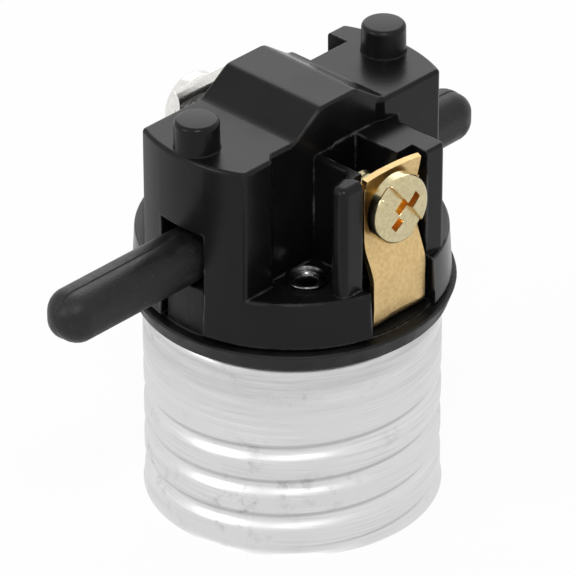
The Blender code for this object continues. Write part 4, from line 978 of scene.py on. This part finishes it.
def strapLine(x, live):
    s = strapSizes
    share = (x - s["shift"]) / (s["width"] / 2)
    uneven = 0.6 * cos(pi * share) + 0.4 * noise.noise(Vector((x * 1.3, 7.0, 0)))
    lift = s["bendWave"] * uneven * (1 - share ** 4)
    bend = [(r, z + max(lift, -0.1) * sin(pi * min(z / (2 * s["bend"]), 1)))
            for r, z in arcPoints(s["bend"], -pi / 2, 0, 5, (s["lowerReach"] - s["bend"], s["bend"]))]
    # evenly growing steps keep the curve from overshooting beside the tight bend
    inward = [(s["lowerReach"] - s["bend"] - step, bend[0][1]) for step in reversed(s["easing"])]
    upward = [(s["lowerReach"], s["bend"] + step) for step in s["easing"]]
    low, high, knee = s["lowerHeight"], s["lowerHeight"] + s["slantHeight"], s["knee"]
    slant = (s["upperReach"] - s["lowerReach"]) / s["slantHeight"]
    knees = [(s["lowerReach"], low - knee), (s["lowerReach"] + slant * knee, low + knee),
             (s["upperReach"] - slant * knee, high - knee), (s["upperReach"], high + knee)]
    return smoothedLine([(s["footEnd"], 0.0)] + inward + bend + upward + knees + lipRows(x, live), 3)


def strapForm(live):
    s = strapSizes
    form = bmesh.new()
    grid = []
    for i in range(s["columns"] + 1):
        share = 2 * i / s["columns"] - 1
        x = s["shift"] + s["width"] / 2 * share
        column = []
        for reach, height in strapLine(x, live):
            wave = s["edgeWave"] * noise.noise(Vector((height * 0.75, 3.0 + share, 0.5)))
            wave = wave * abs(share) ** 5 * min(height, 1)
            column.append(form.verts.new((x + wave, -reach, height + s["bottom"])))
        grid.append(column)
    for left, right in zip(grid[:-1], grid[1:]):
        for k in range(len(left) - 1):
            form.faces.new((left[k], right[k], right[k + 1], left[k + 1]))
    return form


def strapMesh(live):
    s = strapSizes
    work = workObject(strapForm(live))
    sheet = work.modifiers.new("sheet", "SOLIDIFY")
    sheet.thickness = s["sheet"]
    sheet.offset = -1.0
    sheet.use_even_offset = True
    form = bmesh.new()
    form.from_mesh(takenMesh(work))
    middle = (s["screwShift"], -s["upperReach"] + s["sheet"] / 2, s["bottom"] + s["screwHeight"])
    hole = moved(pinForm(s["holeRadius"], -2, 2, (0, 0)), middle, laidOver)
    if live:
        # its foot runs on to the contact of the lamp cap
        (left, right), (near, far), inset = s["legSides"], s["legReach"], s["legInset"]
        leg = cuboid((left, near, s["bottom"] + inset), (right, far, s["bottom"] + s["sheet"] - inset))
        form = built(form, [leg], [hole])
    else:
        rivetHole = pinForm(s["rivetHole"], s["bottom"] - 2, s["bottom"] + 2, s["rivetPlace"])
        form = built(form, [], [hole, rivetHole])
    mesh = softened(form, s["crisp"], 2, 40)
    if not live:
        mesh.transform(Matrix.Translation((0, -s["rearSetback"], 0)) @ halfTurn)
    return mesh


print("terminal straps")
keptPiece("liveStrap", strapMesh(True), brassLook, "socket_body", ["live_terminal_strap"])
keptPiece("neutralStrap", strapMesh(False), nickelLook, "socket_body",
          ["neutral_terminal_strap"])


# Terminal screws

screwSizes = {
    "headRadius": 3.26, "headThickness": 1.75, "headSoft": 0.42, "dome": 0.12, "standOff": 0.6,
    "shank": 1.9, "length": 4.3, "point": 0.5, "sink": 0.3, "driveDepth": 0.7, "driveWidth": 1.35,
    "crossLength": 3.9, "crossWidth": 0.9, "crossDepth": 1.3, "driveTurn": 52, "margin": 0.006,
    "pitch": 0.79, "threadDepth": 0.22, "threadSteps": 48, "threadRows": 60,
}


def headForm():
    s = screwSizes
    radius, top, neck = s["headRadius"], s["headThickness"], s["shank"] * 0.8
    soft = top * s["headSoft"]
    dome = arcPoints(soft, 0, pi / 2, 8, (radius - soft, top - soft - s["dome"]))
    profile = [(0, -s["sink"]), (neck, -s["sink"]), (neck, 0), (radius - 0.1, 0), (radius, 0.12)]
    return spun(profile + dome + [(radius * 0.4, top), (0, top)], 96)


def threadForm():
    # a run-out helical ridge round the shank
    s = screwSizes
    form = bmesh.new()
    steps, rows = s["threadSteps"], s["threadRows"]
    rings = []
    for i in range(rows + 1):
        z = -s["length"] + s["length"] * i / rows
        taper = min((z + s["length"]) / s["point"], 1.0)
        ring = []
        for k in range(steps):
            t = 2 * pi * k / steps
            phase = (z / s["pitch"] + t / (2 * pi)) % 1.0
            tooth = 1 - abs(phase - 0.5) * 2
            r = s["shank"] - s["threadDepth"] * (1 - tooth) - s["point"] * (1 - taper) * 0.8
            ring.append(form.verts.new((r * cos(t), r * sin(t), z)))
        rings.append(ring)
    return closedForm(form, rings)


def markRecess(head, back):
    # the walls and floors of the slot and the cross take the second material, which paints shade into the
    # recess
    s = screwSizes
    edge, low, high = s["margin"], s["headThickness"] - s["driveDepth"] + 0.03, s["headThickness"] - 0.03
    for face in head.polygons:
        place = back @ face.center
        inSlot = abs(place.y) < s["driveWidth"] / 2 + edge and low < place.z < high
        inCross = abs(place.x) < s["crossWidth"] / 2 + edge and abs(place.y) < s["crossLength"] / 2 + edge
        if place.z > 0.05 and (inSlot or (inCross and place.z < high)):
            face.material_index = 1


def screwMesh(rear):
    s = screwSizes
    turn = Matrix.Rotation(-radians(s["driveTurn"]), 4, "Z")
    wide, narrow, long = (s[name] / 2 for name in ("driveWidth", "crossWidth", "crossLength"))
    top = s["headThickness"]
    slot = cuboid((-4.1, -wide, top - s["driveDepth"]), (4.1, wide, 4))
    cross = cuboid((-narrow, -long, top - s["crossDepth"]), (narrow, long, 4.2))
    carved = [moved(form, turn=turn) for form in (slot, cross)]
    head = softened(built(headForm(), [], carved), 0.05, 2, 30)
    markRecess(head, turn.inverted())
    thread = plainMesh(threadForm())
    for face in thread.polygons:
        face.material_index = 2
    form = bmesh.new()
    for part in (head, thread):
        form.from_mesh(part)
        bpy.data.meshes.remove(part)
    mesh = plainMesh(form)
    reach = strapSizes["upperReach"] + s["standOff"]
    place = (strapSizes["screwShift"], -reach, strapSizes["bottom"] + strapSizes["screwHeight"])
    mesh.transform(Matrix.Translation(place) @ laidOver)
    if rear:
        mesh.transform(Matrix.Translation((0, -strapSizes["rearSetback"], 0)) @ halfTurn)
    return mesh


print("terminal screws")
# the drive recess of the brass screw takes the browner brass as painted shade
keptPiece("liveScrew", screwMesh(False), [screwLook, recessShadeLook, screwLook], "live_screw",
          ["live_terminal_screw"], sharp=30)
# its thread and drive recess take the dark nickel, painted shade with oil
keptPiece("neutralScrew", screwMesh(True), [nickelLook, oiledShadedLook, oiledShadedLook], "neutral_screw",
          ["neutral_terminal_screw"], sharp=30)


# The solids that stay as they are

keptSolids = {
    "bridge_contact": copperLook, "bridge_spring": steelLook, "detent_spring": steelLook,
    "load_contact": copperLook, "centre_contact": brassLook, "centre_contact_rivet": brassLook,
    "neutral_rivet": nickelLook,
}
print("inner pieces")
for node, look in keptSolids.items():
    solid = frame["nodes"][node]
    solid.data.materials.clear()
    solid.data.materials.append(look)


# Floor, light and camera

stageSizes = {"floorHalf": 6.0, "floorTone": 0.9, "whiteShare": 0.92, "worldTone": 1.0, "fillTone": 0.6,
              "lampDistance": 0.6, "lampAim": 0.02}
lamps = {
    "backSoftbox": {"direction": (0.6, 0.6, 0.53), "size": (0.5, 0.36), "power": 0.85},
    "leftSoftbox": {"direction": (-0.81, 0.27, 0.5), "size": (0.2, 0.14), "power": 0.6},
    "topSoftbox": {"direction": (-0.4, -0.42, 0.81), "size": (0.14, 0.1), "power": 0.9},
}
cameraSizes = {"azimuth": -46.04, "elevation": 31.64, "roll": -0.14, "distance": 0.5, "lens": 348.3,
               "aim": 0.022, "shift": (-0.00705, -0.0348)}


def anySeen(tree):
    # 1 for rays from the camera, from gloss and through glass
    path = tree.nodes.new("ShaderNodeLightPath")
    either = mathNode(tree, "MAXIMUM", path.outputs["Is Camera Ray"], path.outputs["Is Glossy Ray"])
    return mathNode(tree, "MAXIMUM", either, path.outputs["Is Transmission Ray"])


def makeFloor():
    form = bmesh.new()
    half = stageSizes["floorHalf"]
    corners = ((-half, -half), (half, -half), (half, half), (-half, half))
    form.faces.new([form.verts.new((x, y, rimHeight)) for x, y in corners])
    floor = bpy.data.objects.new("studioFloor", plainMesh(form))
    bpy.context.scene.collection.objects.link(floor)
    look = bpy.data.materials.new("paleFloor")
    look.use_nodes = True
    tree = look.node_tree
    tree.nodes.clear()
    plain = tree.nodes.new("ShaderNodeBsdfDiffuse")
    plain.inputs["Color"].default_value = (stageSizes["floorTone"],) * 3 + (1.0,)
    white = tree.nodes.new("ShaderNodeEmission")
    mix = tree.nodes.new("ShaderNodeMixShader")
    tree.links.new(mathNode(tree, "MULTIPLY", anySeen(tree), stageSizes["whiteShare"]), mix.inputs[0])
    tree.links.new(plain.outputs[0], mix.inputs[1])
    tree.links.new(white.outputs[0], mix.inputs[2])
    tree.links.new(mix.outputs[0], tree.nodes.new("ShaderNodeOutputMaterial").inputs["Surface"])
    floor.data.materials.append(look)


def makeWorld():
    world = bpy.data.worlds.new("studio")
    bpy.context.scene.world = world
    world.use_nodes = True
    tree = world.node_tree
    tree.nodes.clear()
    seen, fill = tree.nodes.new("ShaderNodeBackground"), tree.nodes.new("ShaderNodeBackground")
    seen.inputs["Strength"].default_value = stageSizes["worldTone"]
    fill.inputs["Strength"].default_value = stageSizes["fillTone"]
    for node in (seen, fill):
        node.inputs["Color"].default_value = (1, 1, 1, 1)
    mix = tree.nodes.new("ShaderNodeMixShader")
    tree.links.new(anySeen(tree), mix.inputs[0])
    tree.links.new(fill.outputs[0], mix.inputs[1])
    tree.links.new(seen.outputs[0], mix.inputs[2])
    tree.links.new(mix.outputs[0], tree.nodes.new("ShaderNodeOutputWorld").inputs["Surface"])


def makeLamp(name, direction, size, power):
    lamp = bpy.data.lights.new(name, "AREA")
    lamp.shape = "RECTANGLE"
    lamp.size, lamp.size_y = size
    lamp.energy = power
    holder = bpy.data.objects.new(name, lamp)
    bpy.context.scene.collection.objects.link(holder)
    way = Vector(direction).normalized()
    middle = Vector((0, 0, rimHeight + stageSizes["lampAim"]))
    holder.location = middle + way * stageSizes["lampDistance"]
    holder.rotation_euler = way.to_track_quat("Z", "Y").to_euler()


def makeCamera():
    c = cameraSizes
    azimuth, elevation, roll = radians(c["azimuth"]), radians(c["elevation"]), radians(c["roll"])
    back = Vector((sin(azimuth) * cos(elevation), -cos(azimuth) * cos(elevation), sin(elevation)))
    right = Vector((cos(azimuth), sin(azimuth), 0))
    up = back.cross(right)
    across = right * cos(roll) + up * sin(roll)
    upwards = up * cos(roll) - right * sin(roll)
    data = bpy.data.cameras.new("camera")
    data.sensor_width = 36
    data.lens = c["lens"]
    data.shift_x, data.shift_y = c["shift"]
    data.clip_start, data.clip_end = 0.01, 50
    camera = bpy.data.objects.new("camera", data)
    bpy.context.scene.collection.objects.link(camera)
    turn = Matrix((across, upwards, back)).transposed().to_4x4()
    place = back * c["distance"] + Vector((0, 0, rimHeight + c["aim"]))
    camera.matrix_world = Matrix.Translation(place) @ turn
    bpy.context.scene.camera = camera


print("floor, light and camera")
makeFloor()
makeWorld()
for name, lamp in lamps.items():
    makeLamp(name, **lamp)
makeCamera()
bpy.context.scene.view_settings.view_transform = "Standard"
